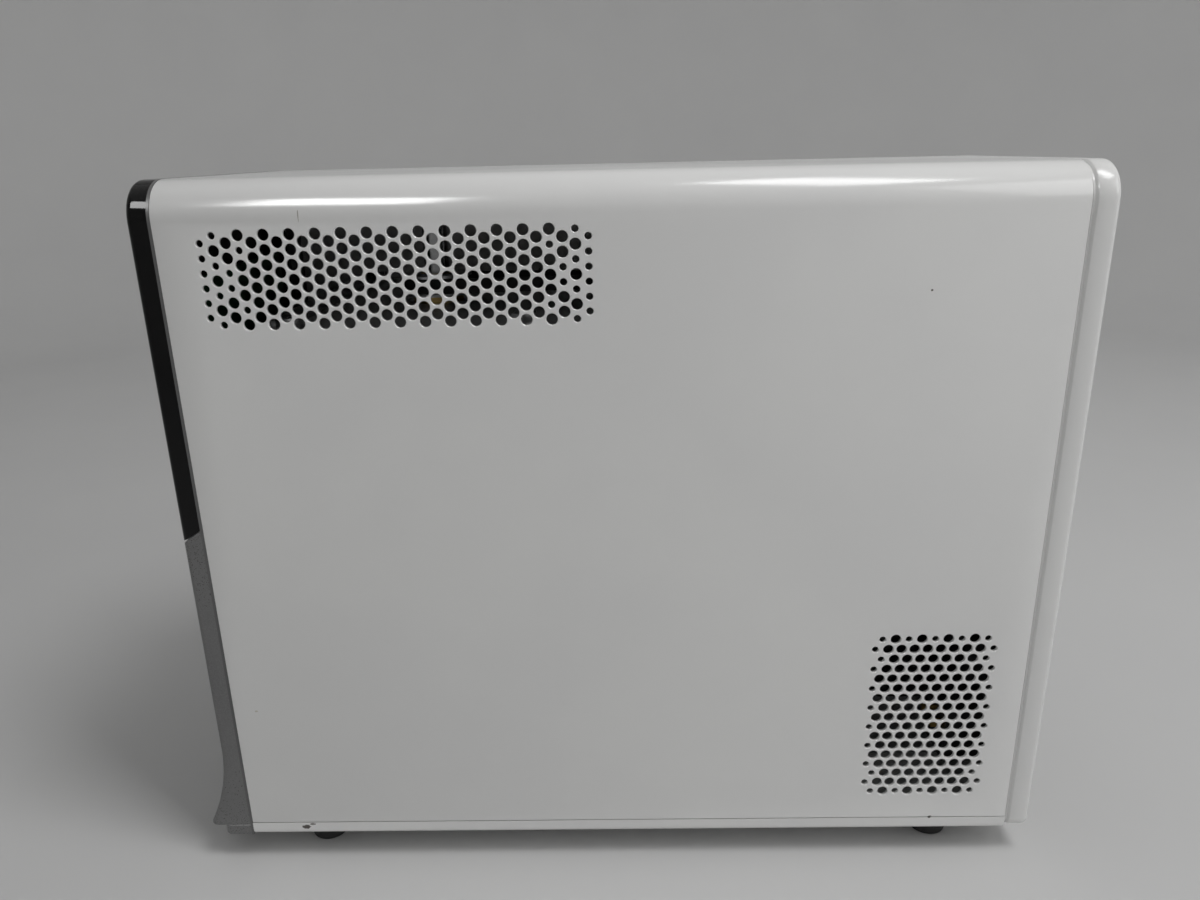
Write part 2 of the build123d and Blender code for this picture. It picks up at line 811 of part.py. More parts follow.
# Pinion: involute flanks from the base circle, radial below it
base_radius = pitch_radius * cos(radians(pressure_angle))
tip_radius = pitch_radius + addendum
root_radius = pitch_radius - dedendum
tooth_angle = (rack_pitch - backlash) / 4 / pitch_radius
flank_points = 3
flank = []
for point in range(flank_points + 1):
    radius = base_radius + (tip_radius - base_radius) * point / flank_points
    turn = tooth_angle + involute(radians(pressure_angle)) - involute(acos(base_radius / radius))
    flank.append((radius, turn))
flank.insert(0, (root_radius, flank[0][1]))
pinion_outline = []
for tooth in range(pinion_teeth):
    middle = 2 * pi * tooth / pinion_teeth
    rising = [(radius, middle - turn) for radius, turn in flank]
    falling = [(radius, middle + turn) for radius, turn in reversed(flank)]
    pinion_outline += [(radius * cos(a), radius * sin(a)) for radius, a in rising + falling]
pinion_gap = 0.5
with BuildPart() as drawer_pinion:
    with BuildSketch(level(carriage_z - pinion_gap)):
        with Locations((pinion_x, pinion_y)):
            Polygon(*pinion_outline, align=None)
            Circle(shaft_radius + slip, mode=Mode.SUBTRACT)
    extrude(amount=-pinion_face)
save(drawer_pinion, "drawer_pinion")


# Motors: square bodies with a round boss that centres them in their plate
def motor(place, top, body_height, bore_bottom):
    """Motor body hanging under a plate whose underside is at height top."""
    with BuildPart() as body:
        with BuildSketch(level(top)) as outline:
            with Locations(place):
                Rectangle(motor_size, motor_size)
            chamfer(outline.vertices(), motor_corner)
        extrude(amount=-body_height)
        with BuildSketch(level(top)):
            with Locations(place):
                Circle(motor_boss)
        extrude(amount=boss_height)
        with BuildSketch(level(bore_bottom)):
            with Locations(place):
                Circle(shaft_radius + bearing_play)
        extrude(amount=top + boss_height - bore_bottom, mode=Mode.SUBTRACT)
    return body


def shaft(place, bottom, top):
    """Plain motor shaft."""
    with BuildPart() as rod:
        with BuildSketch(level(bottom)):
            with Locations(place):
                Circle(shaft_radius)
        extrude(amount=top - bottom)
    return rod


bore_margin = 4.0
drawer_motor_floor = base_plate_z - drawer_motor_height + bore_margin
drawer_motor = motor((pinion_x, pinion_y), base_plate_z, drawer_motor_height, drawer_motor_floor)
save(drawer_motor, "drawer_motor")
drawer_motor_shaft = shaft(
    (pinion_x, pinion_y), drawer_motor_floor + running_gap, carriage_z - pinion_gap
)
save(drawer_motor_shaft, "drawer_motor_shaft")
lift_motor_floor = top_plate_z - lift_motor_height + bore_margin
lift_motor = motor((0, lift_motor_y), top_plate_z, lift_motor_height, lift_motor_floor)
save(lift_motor, "lift_motor")
lift_motor_shaft = shaft((0, lift_motor_y), lift_motor_floor + running_gap, pulley_z + pulley_height)
save(lift_motor_shaft, "lift_motor_shaft")


# Press head: platen, heater, insulation, spacers, crosshead, all carried by the lift screw
def slab(place, length, depth, bottom, thickness):
    """Plain rectangular plate."""
    with BuildPart() as plate:
        with BuildSketch(level(bottom)):
            with Locations(place):
                Rectangle(length, depth)
        extrude(amount=thickness)
    return plate


station = (0, station_y)
sealing_platen = slab(station, platen_length, platen_width, platen_z, platen_sheet)
with sealing_platen:
    chamfer(sealing_platen.faces().sort_by(Axis.Z)[0].edges(), 1.0)
save(sealing_platen, "sealing_platen")

sensor_radius = 2.0
sensor_x = 25.0
sensor_depth = platen_width / 2 - 1.5 * cartridge_pitch - cartridge_radius - 1.0
heater_mid = heater_z + heater_height / 2
cartridge_places = [(station_y + step * cartridge_pitch, heater_mid) for step in (-1.5, -0.5, 0.5, 1.5)]
heater_rear = station_y + platen_width / 2
with BuildPart() as heater_block:
    with BuildSketch(level(heater_z)):
        with Locations(station):
            Rectangle(platen_length, platen_width)
    extrude(amount=heater_height)
    with BuildSketch(facing_side(platen_length / 2)):
        with Locations(*cartridge_places):
            Circle(cartridge_radius + slip)
    extrude(amount=-platen_length, mode=Mode.SUBTRACT)
    with BuildSketch(facing_front(heater_rear)):
        with Locations((sensor_x, heater_mid)):
            Circle(sensor_radius + slip)
    extrude(amount=sensor_depth, mode=Mode.SUBTRACT)
save(heater_block, "heater_block")

cartridge_end = 3.0
cartridge_recess = 8.0
cartridge_length = platen_length - cartridge_recess + cartridge_end
with BuildPart() as cartridge_heaters:
    with BuildSketch(facing_side(platen_length / 2 + cartridge_end)):
        with Locations(*cartridge_places):
            Circle(cartridge_radius)
    extrude(amount=-cartridge_length)
save(cartridge_heaters, "cartridge_heaters")

sensor_head = 8.0
sensor_collar = 3.5
with BuildPart() as temperature_sensor:
    with BuildSketch(facing_front(heater_rear)):
        with Locations((sensor_x, heater_mid)):
            Circle(sensor_radius)
    extrude(amount=sensor_depth - running_gap)
    with BuildSketch(facing_front(heater_rear + sensor_head)):
        with Locations((sensor_x, heater_mid)):
            RegularPolygon(sensor_collar, 6)
    extrude(amount=sensor_head)
save(temperature_sensor, "temperature_sensor")

insulation_inset = 6.0
insulation_board = slab(
    station,
    platen_length - 2 * insulation_inset,
    platen_width - 2 * insulation_inset,
    insulation_z,
    insulation_sheet,
)
save(insulation_board, "insulation_board")

spacer_places = [(x, station_y + y) for x in (-45.0, 45.0) for y in (-28.0, 28.0)]
with BuildPart() as insulating_spacers:
    with BuildSketch(level(spacer_z)):
        with Locations(*spacer_places):
            Circle(spacer_radius)
    extrude(amount=spacer_height)
save(insulating_spacers, "insulating_spacers")

crosshead_edge = 9.0
rib_width = 8.0
rib_height = 8.0
with BuildPart() as crosshead:
    with BuildSketch(level(crosshead_z)):
        with Locations(station):
            Rectangle(2 * plate_reach_x, 2 * (column_reach + crosshead_edge))
        with Locations(*column_places):
            Circle(bush_radius + slip, mode=Mode.SUBTRACT)
        with Locations(station):
            Circle(screw_radius + slip, mode=Mode.SUBTRACT)
        for side in (-1, 1):
            with Locations((side * plate_reach_x, station_y)):
                SlotOverall(2 * column_reach - 4 * bush_radius, 44.0, rotation=90, mode=Mode.SUBTRACT)
    extrude(amount=crosshead_sheet)
    with BuildSketch(level(crosshead_top)):
        with Locations((0, station_y - column_reach / 2), (0, station_y + column_reach / 2)):
            Rectangle(100.0, rib_width)
    extrude(amount=rib_height)
save(crosshead, "crosshead")

bush_flange = 1.2
bush_flange_height = 2.0
bush_z = crosshead_top - bush_height / 2 - crosshead_sheet / 2
with BuildPart() as linear_bushes:
    with BuildSketch(level(bush_z)):
        with Locations(*column_places):
            Circle(bush_radius)
    extrude(amount=bush_height)
    with BuildSketch(level(crosshead_top)):
        with Locations(*column_places):
            Circle(bush_radius + bush_flange)
    extrude(amount=bush_flange_height)
    with BuildSketch(level(bush_z)):
        with Locations(*column_places):
            Circle(column_radius + bearing_play)
    extrude(amount=bush_height, mode=Mode.SUBTRACT)
save(linear_bushes, "linear_bushes")

with BuildPart() as screw_clamp:
    with BuildSketch(level(crosshead_top)):
        with Locations(station):
            Circle(clamp_radius)
            Circle(screw_radius + slip, mode=Mode.SUBTRACT)
        with Locations((clamp_radius, station_y)):
            Rectangle(clamp_radius, 1.0, mode=Mode.SUBTRACT)
    extrude(amount=clamp_height)
save(screw_clamp, "screw_clamp")

with BuildPart() as lift_screw:
    with BuildSketch(level(crosshead_z)):
        with Locations(station):
            Circle(screw_radius)
    extrude(amount=screw_top - crosshead_z)
    chamfer(lift_screw.faces().sort_by(Axis.Z)[-1].edges(), 1.0)
save(lift_screw, "lift_screw")

# Lift nut: turns in the bearing, carries the large pulley and moves the screw
nut_bottom = bearing_z - 1.0
shoulder_z = top_plate_z + top_plate_sheet + bearing_play
with BuildPart() as lift_nut:
    with BuildSketch(level(nut_bottom)):
        with Locations(station):
            Circle(bearing_inner - bearing_play)
    extrude(amount=shoulder_z - nut_bottom)
    with BuildSketch(level(shoulder_z)):
        with Locations(station):
            Circle(nut_shoulder)
    extrude(amount=pulley_z - shoulder_z)
    with BuildSketch(level(pulley_z)):
        with Locations(station):
            Circle(nut_spigot)
    extrude(amount=pulley_height)
    with BuildSketch(level(nut_bottom)):
        with Locations(station):
            Circle(screw_radius + bearing_play)
    extrude(amount=pulley_z + pulley_height - nut_bottom, mode=Mode.SUBTRACT)
save(lift_nut, "lift_nut")


def pulley(place, radius, bore):
    """Belt pulley with a rim at each end."""
    with BuildPart() as wheel:
        with BuildSketch(level(pulley_z)):
            with Locations(place):
                Circle(radius)
        extrude(amount=pulley_height)
        for rim_z in (pulley_z, pulley_z + pulley_height - pulley_rim):
            with BuildSketch(level(rim_z)):
                with Locations(place):
                    Circle(radius + pulley_rim_reach)
            extrude(amount=pulley_rim)
        with BuildSketch(level(pulley_z)):
            with Locations(place):
                Circle(bore + slip)
        extrude(amount=pulley_height, mode=Mode.SUBTRACT)
    return wheel


nut_pulley = pulley(station, nut_pulley_radius, nut_spigot)
save(nut_pulley, "nut_pulley")
motor_pulley = pulley((0, lift_motor_y), motor_pulley_radius, shaft_radius)
save(motor_pulley, "motor_pulley")

belt_gap = 0.15
belt_z = pulley_z + pulley_rim + running_gap
belt_height = pulley_height - 2 * pulley_rim - 2 * running_gap
with BuildPart() as lift_belt:
    with BuildSketch(level(belt_z)):
        with Locations(station):
            Circle(nut_pulley_radius + belt_gap + belt_sheet)
        with Locations((0, lift_motor_y)):
            Circle(motor_pulley_radius + belt_gap + belt_sheet)
        make_hull()
    extrude(amount=belt_height)
    with BuildSketch(level(belt_z)):
        with Locations(station):
            Circle(nut_pulley_radius + belt_gap)
        with Locations((0, lift_motor_y)):
            Circle(motor_pulley_radius + belt_gap)
        make_hull()
    extrude(amount=belt_height, mode=Mode.SUBTRACT)
save(lift_belt, "lift_belt")

# Electronics: a bracket on the tray, the main board on standoffs, the power supply
bracket_reach = 70.0
bracket_foot = 12.0
with BuildPart() as board_bracket:
    with BuildSketch(facing_front(bracket_y + sheet)):
        with Locations((0, tray_floor)):
            Rectangle(2 * bracket_reach, bracket_top - tray_floor, align=(Align.CENTER, Align.MIN))
        with Locations((0, 50.0)):
            SlotOverall(80.0, 20.0, mode=Mode.SUBTRACT)
    extrude(amount=sheet)
    with BuildSketch(level(tray_floor)):
        with Locations((0, bracket_y)):
            Rectangle(2 * bracket_reach, bracket_foot, align=(Align.CENTER, Align.MIN))
    extrude(amount=sheet)
save(board_bracket, "board_bracket")

board_z = 146.0
board_width = 124.0
board_height = 152.0
board_lift = 6.0
board_hole_inset = 6.0
board_back = bracket_y + sheet + board_lift
board_hole_places = [
    (x * (board_width / 2 - board_hole_inset), board_z + z * (board_height / 2 - board_hole_inset))
    for x in (-1, 1)
    for z in (-1, 1)
]
with BuildPart() as board_standoffs:
    with BuildSketch(facing_front(board_back)):
        with Locations(*board_hole_places):
            RegularPolygon(3.5, 6)
    extrude(amount=board_lift)
save(board_standoffs, "board_standoffs")

board_face = board_back + board_sheet
with BuildPart() as main_board:
    with BuildSketch(facing_front(board_face)):
        with Locations((0, board_z)):
            Rectangle(board_width, board_height)
    extrude(amount=board_sheet)
    for block_x, block_z, block_w, block_h, block_d in (
        (-30.0, 190.0, 34.0, 34.0, 4.0),
        (-34.0, 118.0, 30.0, 40.0, 22.0),
        (20.0, 196.0, 16.0, 40.0, 14.0),
        (40.0, 100.0, 24.0, 12.0, 12.0),
    ):
        with BuildSketch(facing_front(board_face + block_d)):
            with Locations((block_x, block_z)):
                Rectangle(block_w, block_h)
        extrude(amount=block_d)
    capacitor_height = 26.0
    with BuildSketch(facing_front(board_face + capacitor_height)):
        with Locations((12.0, 120.0), (30.0, 132.0)):
            Circle(7.0)
    extrude(amount=capacitor_height)
save(main_board, "main_board")

supply_x = -15.0
supply_width = 92.0
supply_front = bracket_y + sheet + bracket_foot + running_gap
supply_depth = 84.0
supply_height = 36.0
terminal_depth = 12.0
with BuildPart() as power_supply:
    with BuildSketch(level(tray_floor)):
        with Locations((supply_x, supply_front)):
            Rectangle(supply_width, supply_depth, align=(Align.CENTER, Align.MIN))
    extrude(amount=supply_height)
    with BuildSketch(level(tray_floor + supply_height)):
        with Locations((supply_x, supply_front)):
            Rectangle(supply_width, terminal_depth, align=(Align.CENTER, Align.MIN))
    extrude(amount=-supply_height / 2, mode=Mode.SUBTRACT)
    with BuildSketch(level(tray_floor + supply_height)):
        with Locations((supply_x, supply_front + supply_depth / 2 + terminal_depth)):
            with GridLocations(12.0, 0, 5, 1):
                SlotOverall(40.0, 4.0, rotation=90)
    extrude(amount=-sheet, mode=Mode.SUBTRACT)
save(power_supply, "power_supply")

# Mains inlet with its socket, contact pins and fuse drawer
flange_sheet = 2.5
inlet_flange_width = 50.0
inlet_depth = 24.0
socket_z = inlet_z + socket_rise
socket_chamfer = 4.0
fuse_width = 22.0
fuse_height = 6.0
fuse_z = inlet_z - 9.0
fuse_depth = 18.0
inlet_face = cover_rear + flange_sheet
pin_width = 2.0
pin_height = 4.0
pin_places = [(inlet_x - 7.0, socket_z - 2.0), (inlet_x + 7.0, socket_z - 2.0), (inlet_x, socket_z + 2.0)]
with BuildPart() as power_inlet:
    with BuildSketch(facing_front(inlet_face)):
        with Locations((inlet_x, inlet_z)):
            RectangleRounded(inlet_flange_width, inlet_height + 2.0, 4.0)
    extrude(amount=flange_sheet)
    with BuildSketch(facing_front(cover_rear)):
        with Locations((inlet_x, inlet_z)):
            Rectangle(inlet_width, inlet_height)
    extrude(amount=inlet_depth)
    with BuildSketch(facing_front(inlet_face)) as socket:
        with Locations((inlet_x, socket_z)):
            Rectangle(socket_width, socket_height)
        chamfer(socket.vertices().group_by(Axis.Y)[-1], socket_chamfer)
    extrude(amount=socket_depth, mode=Mode.SUBTRACT)
    with BuildSketch(facing_front(inlet_face)):
        with Locations((inlet_x, fuse_z)):
            Rectangle(fuse_width + 2 * slip, fuse_height + 2 * slip)
    extrude(amount=fuse_depth, mode=Mode.SUBTRACT)
    with BuildSketch(facing_front(inlet_face)):
        with Locations(*pin_places):
            Rectangle(pin_width + 2 * slip, pin_height + 2 * slip)
    extrude(amount=inlet_depth + flange_sheet, mode=Mode.SUBTRACT)
save(power_inlet, "power_inlet")

tab_length = 5.0
with BuildPart() as inlet_pins:
    with BuildSketch(facing_front(inlet_face - pin_depth)):
        with Locations(*pin_places):
            Rectangle(pin_width, pin_height)
    extrude(amount=inlet_depth + flange_sheet - pin_depth + tab_length)
save(inlet_pins, "inlet_pins")

with BuildPart() as fuse_drawer:
    with BuildSketch(facing_front(inlet_face)):
        with Locations((inlet_x, fuse_z)):
            Rectangle(fuse_width, fuse_height)
    extrude(amount=fuse_depth)
    with BuildSketch(facing_front(inlet_face)):
        with Locations((inlet_x, fuse_z - fuse_height / 2)):
            Rectangle(8.0, 2.0)
    extrude(amount=1.0, mode=Mode.SUBTRACT)
save(fuse_drawer, "fuse_drawer")

# Power switch: a housing with a rocker that tips on two pins
switch_flange = 2.0
switch_depth = 16.0
pocket_depth = 12.0
pocket_height = 17.2
switch_face = cover_rear + switch_flange
pivot_y = cover_rear - pivot_inset
with BuildPart() as switch_housing:
    with BuildSketch(facing_front(switch_face)):
        with Locations((inlet_x, switch_z)):
            RectangleRounded(switch_width + 4.0, switch_height + 4.0, 2.0)
    extrude(amount=switch_flange)
    with BuildSketch(facing_front(cover_rear)):
        with Locations((inlet_x, switch_z)):
            Rectangle(switch_width, switch_height)
    extrude(amount=switch_depth)
    with BuildSketch(facing_front(switch_face)):
        with Locations((inlet_x, switch_z)):
            Rectangle(rocker_width + 2 * running_gap, pocket_height)
    extrude(amount=pocket_depth, mode=Mode.SUBTRACT)
    with BuildSketch(facing_side(inlet_x + switch_width / 2)):
        with Locations((pivot_y, switch_z)):
            Circle(pivot_radius + bearing_play)
    extrude(amount=-switch_width, mode=Mode.SUBTRACT)
save(switch_housing, "switch_housing")

pin_reach = 2.0
rocker_plane = Plane.YZ.offset(inlet_x - rocker_width / 2)
with BuildPart() as power_rocker:
    with BuildSketch(rocker_plane):
        with Locations(Location((pivot_y, switch_z), -rocker_tilt)):
            Polygon((6.2, -7.2), (4.2, 0), (6.2, 7.2), (1.5, 6.6), (-4.0, 0), (1.5, -6.6), align=None)
    extrude(amount=rocker_width)
    with BuildSketch(rocker_plane.offset(-pin_reach)):
        with Locations((pivot_y, switch_z)):
            Circle(pivot_radius)
    extrude(amount=rocker_width + 2 * pin_reach)
save(power_rocker, "power_rocker")

# Data ports: a nine-pin connector above a square one
port_depth = 12.0
port_rim = 1.0
with BuildPart() as data_ports:
    with BuildSketch(facing_front(cover_rear)):
        with Locations((port_x, port_z)):
            Rectangle(port_cut_width, port_cut_height)
        with Locations((port_x, port_z - usb_drop)):
            Rectangle(usb_size, usb_size)
    extrude(amount=port_depth)
    with BuildSketch(facing_front(cover_rear + port_rim)):
        with Locations((port_x, port_z)):
            RectangleRounded(31.0, 12.5, 2.0)
        with Locations((port_x, port_z - usb_drop)):
            RectangleRounded(usb_size + 3.0, usb_size + 3.0, 1.0)
    extrude(amount=port_rim)
    with BuildSketch(facing_front(cover_rear + port_rim)):
        with Locations((port_x, port_z)):
            Trapezoid(17.0, 8.0, 80)
        with Locations((port_x, port_z - usb_drop)):
            Rectangle(usb_size - 3.0, usb_size - 3.0)
    extrude(amount=port_depth / 2, mode=Mode.SUBTRACT)
save(data_ports, "data_ports")

# Fan: square frame behind the panel, rotor in its bearing, guard outside
fan_back = panel_inside
fan_front = panel_inside - fan_depth
cup_depth = 4.0
fan_shaft = 2.0
fan_cup = 15.0
strut_width = 5.0
with BuildPart() as fan_frame:
    with BuildSketch(facing_front(fan_back)):
        with Locations((0, fan_z)):
            RectangleRounded(fan_size, fan_size, 4.0)
            Circle(fan_bore, mode=Mode.SUBTRACT)
        with Locations(*fan_screw_places):
            Circle(panel_screw_radius + slip, mode=Mode.SUBTRACT)
    extrude(amount=fan_depth)
    with BuildSketch(facing_front(fan_front + cup_depth)):
        with Locations((0, fan_z)):
            Circle(fan_cup)
            Rectangle(2 * fan_bore + 1.0, strut_width)
            Rectangle(strut_width, 2 * fan_bore + 1.0)
            Circle(fan_shaft + bearing_play, mode=Mode.SUBTRACT)
    extrude(amount=cup_depth)
save(fan_frame, "fan_frame")

rotor_front = fan_front + cup_depth + 0.5
rotor_rear = fan_back - 2.0
blade_reach = fan_bore - 1.5
blade_length = blade_reach - fan_hub + 3.0
blade_sheet = 1.6
blade_chord = 19.0
blade_pitch = 38.0
rotor_depth = rotor_rear - rotor_front
with BuildPart(facing_front((rotor_front + rotor_rear) / 2)) as fan_rotor:
    with Locations((0, fan_z)):
        with PolarLocations(fan_hub - 2.0 + blade_length / 2, fan_blades):
            Box(blade_length, blade_sheet, blade_chord, rotation=(blade_pitch, 0, 0))
        Cylinder(blade_reach, rotor_depth, mode=Mode.INTERSECT)
        Cylinder(fan_hub, rotor_depth)
    with BuildSketch(facing_front(rotor_front)):
        with Locations((0, fan_z)):
            Circle(fan_shaft)
    extrude(amount=cup_depth)
save(fan_rotor, "fan_rotor")

guard_sheet = 1.5
guard_bar = 1.8
guard_rings = (11.0, 20.0, 29.0, 38.0)
with BuildPart() as fan_guard:
    with BuildSketch(facing_front(cover_rear + guard_sheet)):
        with Locations((0, fan_z)):
            for ring in reversed(guard_rings):
                Circle(ring + guard_bar / 2)
                Circle(ring - guard_bar / 2, mode=Mode.SUBTRACT)
            reach = guard_rings[-1]
            for turn in (45, 135):
                Rectangle(2 * fan_screw_reach * sqrt(2), guard_bar, rotation=turn)
            Circle(guard_rings[0] - guard_bar / 2, mode=Mode.SUBTRACT)
        with Locations(*fan_screw_places):
            Circle(2.5 * panel_screw_radius)
            Circle(panel_screw_radius + slip, mode=Mode.SUBTRACT)
    extrude(amount=guard_sheet)
save(fan_guard, "fan_guard")

# Screws of the rear panel and the fan
screw_head = 2.0
screw_head_radius = 3.0
panel_screw_length = 5.0
fan_screw_length = 10.0
with BuildPart() as panel_screws:
    with BuildSketch(facing_front(cover_rear + screw_head)):
        with Locations(*panel_screw_places):
            Circle(screw_head_radius)
    extrude(amount=screw_head)
    with BuildSketch(facing_front(cover_rear)):
        with Locations(*panel_screw_places):
            Circle(panel_screw_radius)
    extrude(amount=panel_screw_length)
    with BuildSketch(facing_front(cover_rear + guard_sheet + screw_head)):
        with Locations(*fan_screw_places):
            Circle(screw_head_radius)
    extrude(amount=screw_head)
    with BuildSketch(facing_front(cover_rear + guard_sheet)):
        with Locations(*fan_screw_places):
            Circle(panel_screw_radius)
    extrude(amount=fan_screw_length)
save(panel_screws, "panel_screws")
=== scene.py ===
"""Looks of a plate heat sealer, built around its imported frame.

X runs across the object, Y from its front to its rear and Z up, with the floor at Z = 0. Lamps
and the camera are placed in metres.
"""

from math import pi, radians, sqrt

import bpy
import numpy as np
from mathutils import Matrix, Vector
from mathutils.geometry import delaunay_2d_cdt


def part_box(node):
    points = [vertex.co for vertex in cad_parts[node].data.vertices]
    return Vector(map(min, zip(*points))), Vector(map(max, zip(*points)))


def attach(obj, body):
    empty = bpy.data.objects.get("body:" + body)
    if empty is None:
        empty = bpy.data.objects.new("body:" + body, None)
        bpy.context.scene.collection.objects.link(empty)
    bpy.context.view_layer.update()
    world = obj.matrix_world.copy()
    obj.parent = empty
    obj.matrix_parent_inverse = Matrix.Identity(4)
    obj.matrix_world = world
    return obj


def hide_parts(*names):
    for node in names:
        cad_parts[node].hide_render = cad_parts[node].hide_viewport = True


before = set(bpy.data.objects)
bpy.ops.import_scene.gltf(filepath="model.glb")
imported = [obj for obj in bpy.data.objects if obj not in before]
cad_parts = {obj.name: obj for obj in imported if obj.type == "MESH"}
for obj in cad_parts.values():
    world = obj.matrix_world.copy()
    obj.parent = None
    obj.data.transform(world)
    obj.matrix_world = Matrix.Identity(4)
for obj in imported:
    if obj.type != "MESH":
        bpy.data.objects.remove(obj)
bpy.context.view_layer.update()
MM = 0.001


def box_mm(node):
    """Lowest and highest corner of a frame node in millimetres."""
    low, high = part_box(node)
    return np.array(low) / MM, np.array(high) / MM


# Main sizes, read from the frame
cover_low, cover_high = box_mm("cover")
strip_low, strip_high = box_mm("upper_fascia")
ring_low, ring_high = box_mm("rear_bezel")
drawer_low, drawer_high = box_mm("drawer_front")
glass_low, glass_high = box_mm("touch_glass")
bezel_low = box_mm("lower_bezel")[0]
tray_low = box_mm("base_tray")[0]
half_width = cover_high[0]
top = cover_high[2]
strip_face = strip_low[1]
strip_rear = strip_high[1]
toe_tip = bezel_low[1]

# Forms of the cover and the front strip that a box doesn't tell
edge_radius = 16.0
sheet = 1.5
strip_round = 3.0
strip_wall = 2.5
junction_front = strip_low[2]
junction_rise = 6.0
junction_slope = junction_rise / (strip_rear - strip_face)
junction_gap = 0.3
flare_top = 64.0
toe_top = 21.5
lip_height = 1.5
plinth_setback = 6.4
aperture_corner = 4.0
aperture_gap = 0.5

# Forms of the rear ring
groove_depth = 1.2
groove_width = 2.0
ring_round = 3.0
ring_foot_radius = 6.0
ring_wall = 4.5

# Vents: round holes on a close-packed lattice, smaller along some borders. Each vent has its
# middle as Y and Z, and the reach of its lattice from there in columns and rows.
hole_pitch = 6.0
big_hole = 4.8
small_hole = 3.0
hole_steps = 20
hole_edge = 0.25
upper_vent = (cover_low[1] + 96.2, top - 39.8)
upper_vent_reach = (15, 6)
lower_vent = (cover_high[1] - 42.9, 78.4)
lower_vent_reach = (9, 8)

# Edges that turn by more than this stay sharp, in degrees
crease = 33.0


# Shapes


def new_object(name, points, faces, material):
    """Smooth object at the origin, from points in millimetres."""
    mesh = bpy.data.meshes.new(name)
    mesh.from_pydata((np.asarray(points) * MM).tolist(), [], faces)
    mesh.polygons.foreach_set("use_smooth", np.ones(len(mesh.polygons), bool))
    mesh.materials.append(material)
    made = bpy.data.objects.new(name, mesh)
    bpy.context.scene.collection.objects.link(made)
    return made


def put_mesh(name, points, faces, finish, body, replaced):
    """Piece that rides a body in place of some nodes of the frame."""
    piece = new_object(name, points, faces, finishes[finish])
    piece.data.set_sharp_from_angle(angle=radians(crease))
    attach(piece, body)
    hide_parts(*replaced)


def joined(patches):
    """One set of points and faces from several, with points closer than a micrometre made one.

    A face loses the corners that fall together, and goes when fewer than three are left.
    """
    points = np.concatenate([np.asarray(patch_points, float) for patch_points, _ in patches])
    _, first, same = np.unique(np.round(points, 3), axis=0, return_index=True, return_inverse=True)
    same = same.ravel()
    faces, start = [], 0
    for patch_points, patch_faces in patches:
        for face in patch_faces:
            face = list(dict.fromkeys(int(same[start + corner]) for corner in face))
            if len(face) > 2:
                faces.append(face)
        start += len(patch_points)
    return points[first], faces


def together(solids):
    """One set of points and faces from several closed forms that stay apart."""
    points, faces, start = [], [], 0
    for solid_points, solid_faces in solids:
        points.append(solid_points)
        faces += [[corner + start for corner in face] for face in solid_faces]
        start += len(solid_points)
    return np.concatenate(points), faces


def arc(centre, radius, start, end, steps):
    """Arc in a plane: centre plus radius times the cosine and sine of the turn, in degrees."""
    turn = np.radians(np.linspace(start, end, steps + 1))
    return np.stack([centre[0] + radius * np.cos(turn), centre[1] + radius * np.sin(turn)], 1)


def rounded(left, right, bottom, height, upper, lower, steps=10):
    """Counter-clockwise rectangle with round upper and lower corners: four quarter arcs in turn."""
    corners = (
        (right - lower, bottom + lower, lower, -90),
        (right - upper, height - upper, upper, 0),
        (left + upper, height - upper, upper, 90),
        (left + lower, bottom + lower, lower, 180),
    )
    return np.concatenate([arc((x, z), radius, turn, turn + 90, steps) for x, z, radius, turn in corners])


def uprights_cut(loop, steps, parts):
    """Rounded rectangle whose two upright sides are cut into equal parts, to follow a curved face.

    steps is the count that rounded() made each corner with, so the uprights start after the first
    and the third corner.
    """
    counts = np.ones(len(loop), int)
    counts[[steps, 3 * steps + 2]] = parts
    following = np.roll(loop, -1, 0)
    sides = [a + (b - a) * np.arange(n)[:, None] / n for a, b, n in zip(loop, following, counts)]
    return np.concatenate(sides)


def walls(rings, closed=False):
    """Quads between rings of equal length, each of them closed on itself.

    closed also joins the last ring to the first.
    """
    count = len(rings[0])
    number = np.arange(count)
    faces = []
    for row in range(len(rings) if closed else len(rings) - 1):
        a = row * count + number
        b = (row + 1) % len(rings) * count + number
        faces += np.stack([a, b, np.roll(b, -1), np.roll(a, -1)], 1).tolist()
    return np.concatenate(rings), faces


def fill(loops, seeds=()):
    """Triangles inside the first loop and outside the other ones, through the seed points as well.

    Every loop is convex, so a triangle with all three corners on one inner loop only closes that
    opening and is left out.
    """
    merge_distance = 1e-6
    flat = np.concatenate([*loops, np.reshape(seeds, (-1, 2))])
    rim = np.full(len(flat), -1)
    edges, start = [], 0
    for number, loop in enumerate(loops):
        index = np.arange(start, start + len(loop))
        edges += np.stack([index, np.roll(index, -1)], 1).tolist()
        rim[index] = number
        start += len(loop)
    found = delaunay_2d_cdt([Vector(p) for p in flat.tolist()], edges, [], 0, merge_distance)
    origin = np.array([source[0] for source in found[3]])
    triangles = origin[np.array([list(t) for t in found[2]])]
    on = rim[triangles]
    opening = (on[:, 0] > 0) & (on[:, 0] == on[:, 1]) & (on[:, 1] == on[:, 2])
    return flat, triangles[~opening]


def at_depth(plane_points, depth):
    """Points of an X and Z plane put at a depth Y."""
    x, z = plane_points.T
    return np.column_stack([x, np.broadcast_to(depth, len(plane_points)), z])


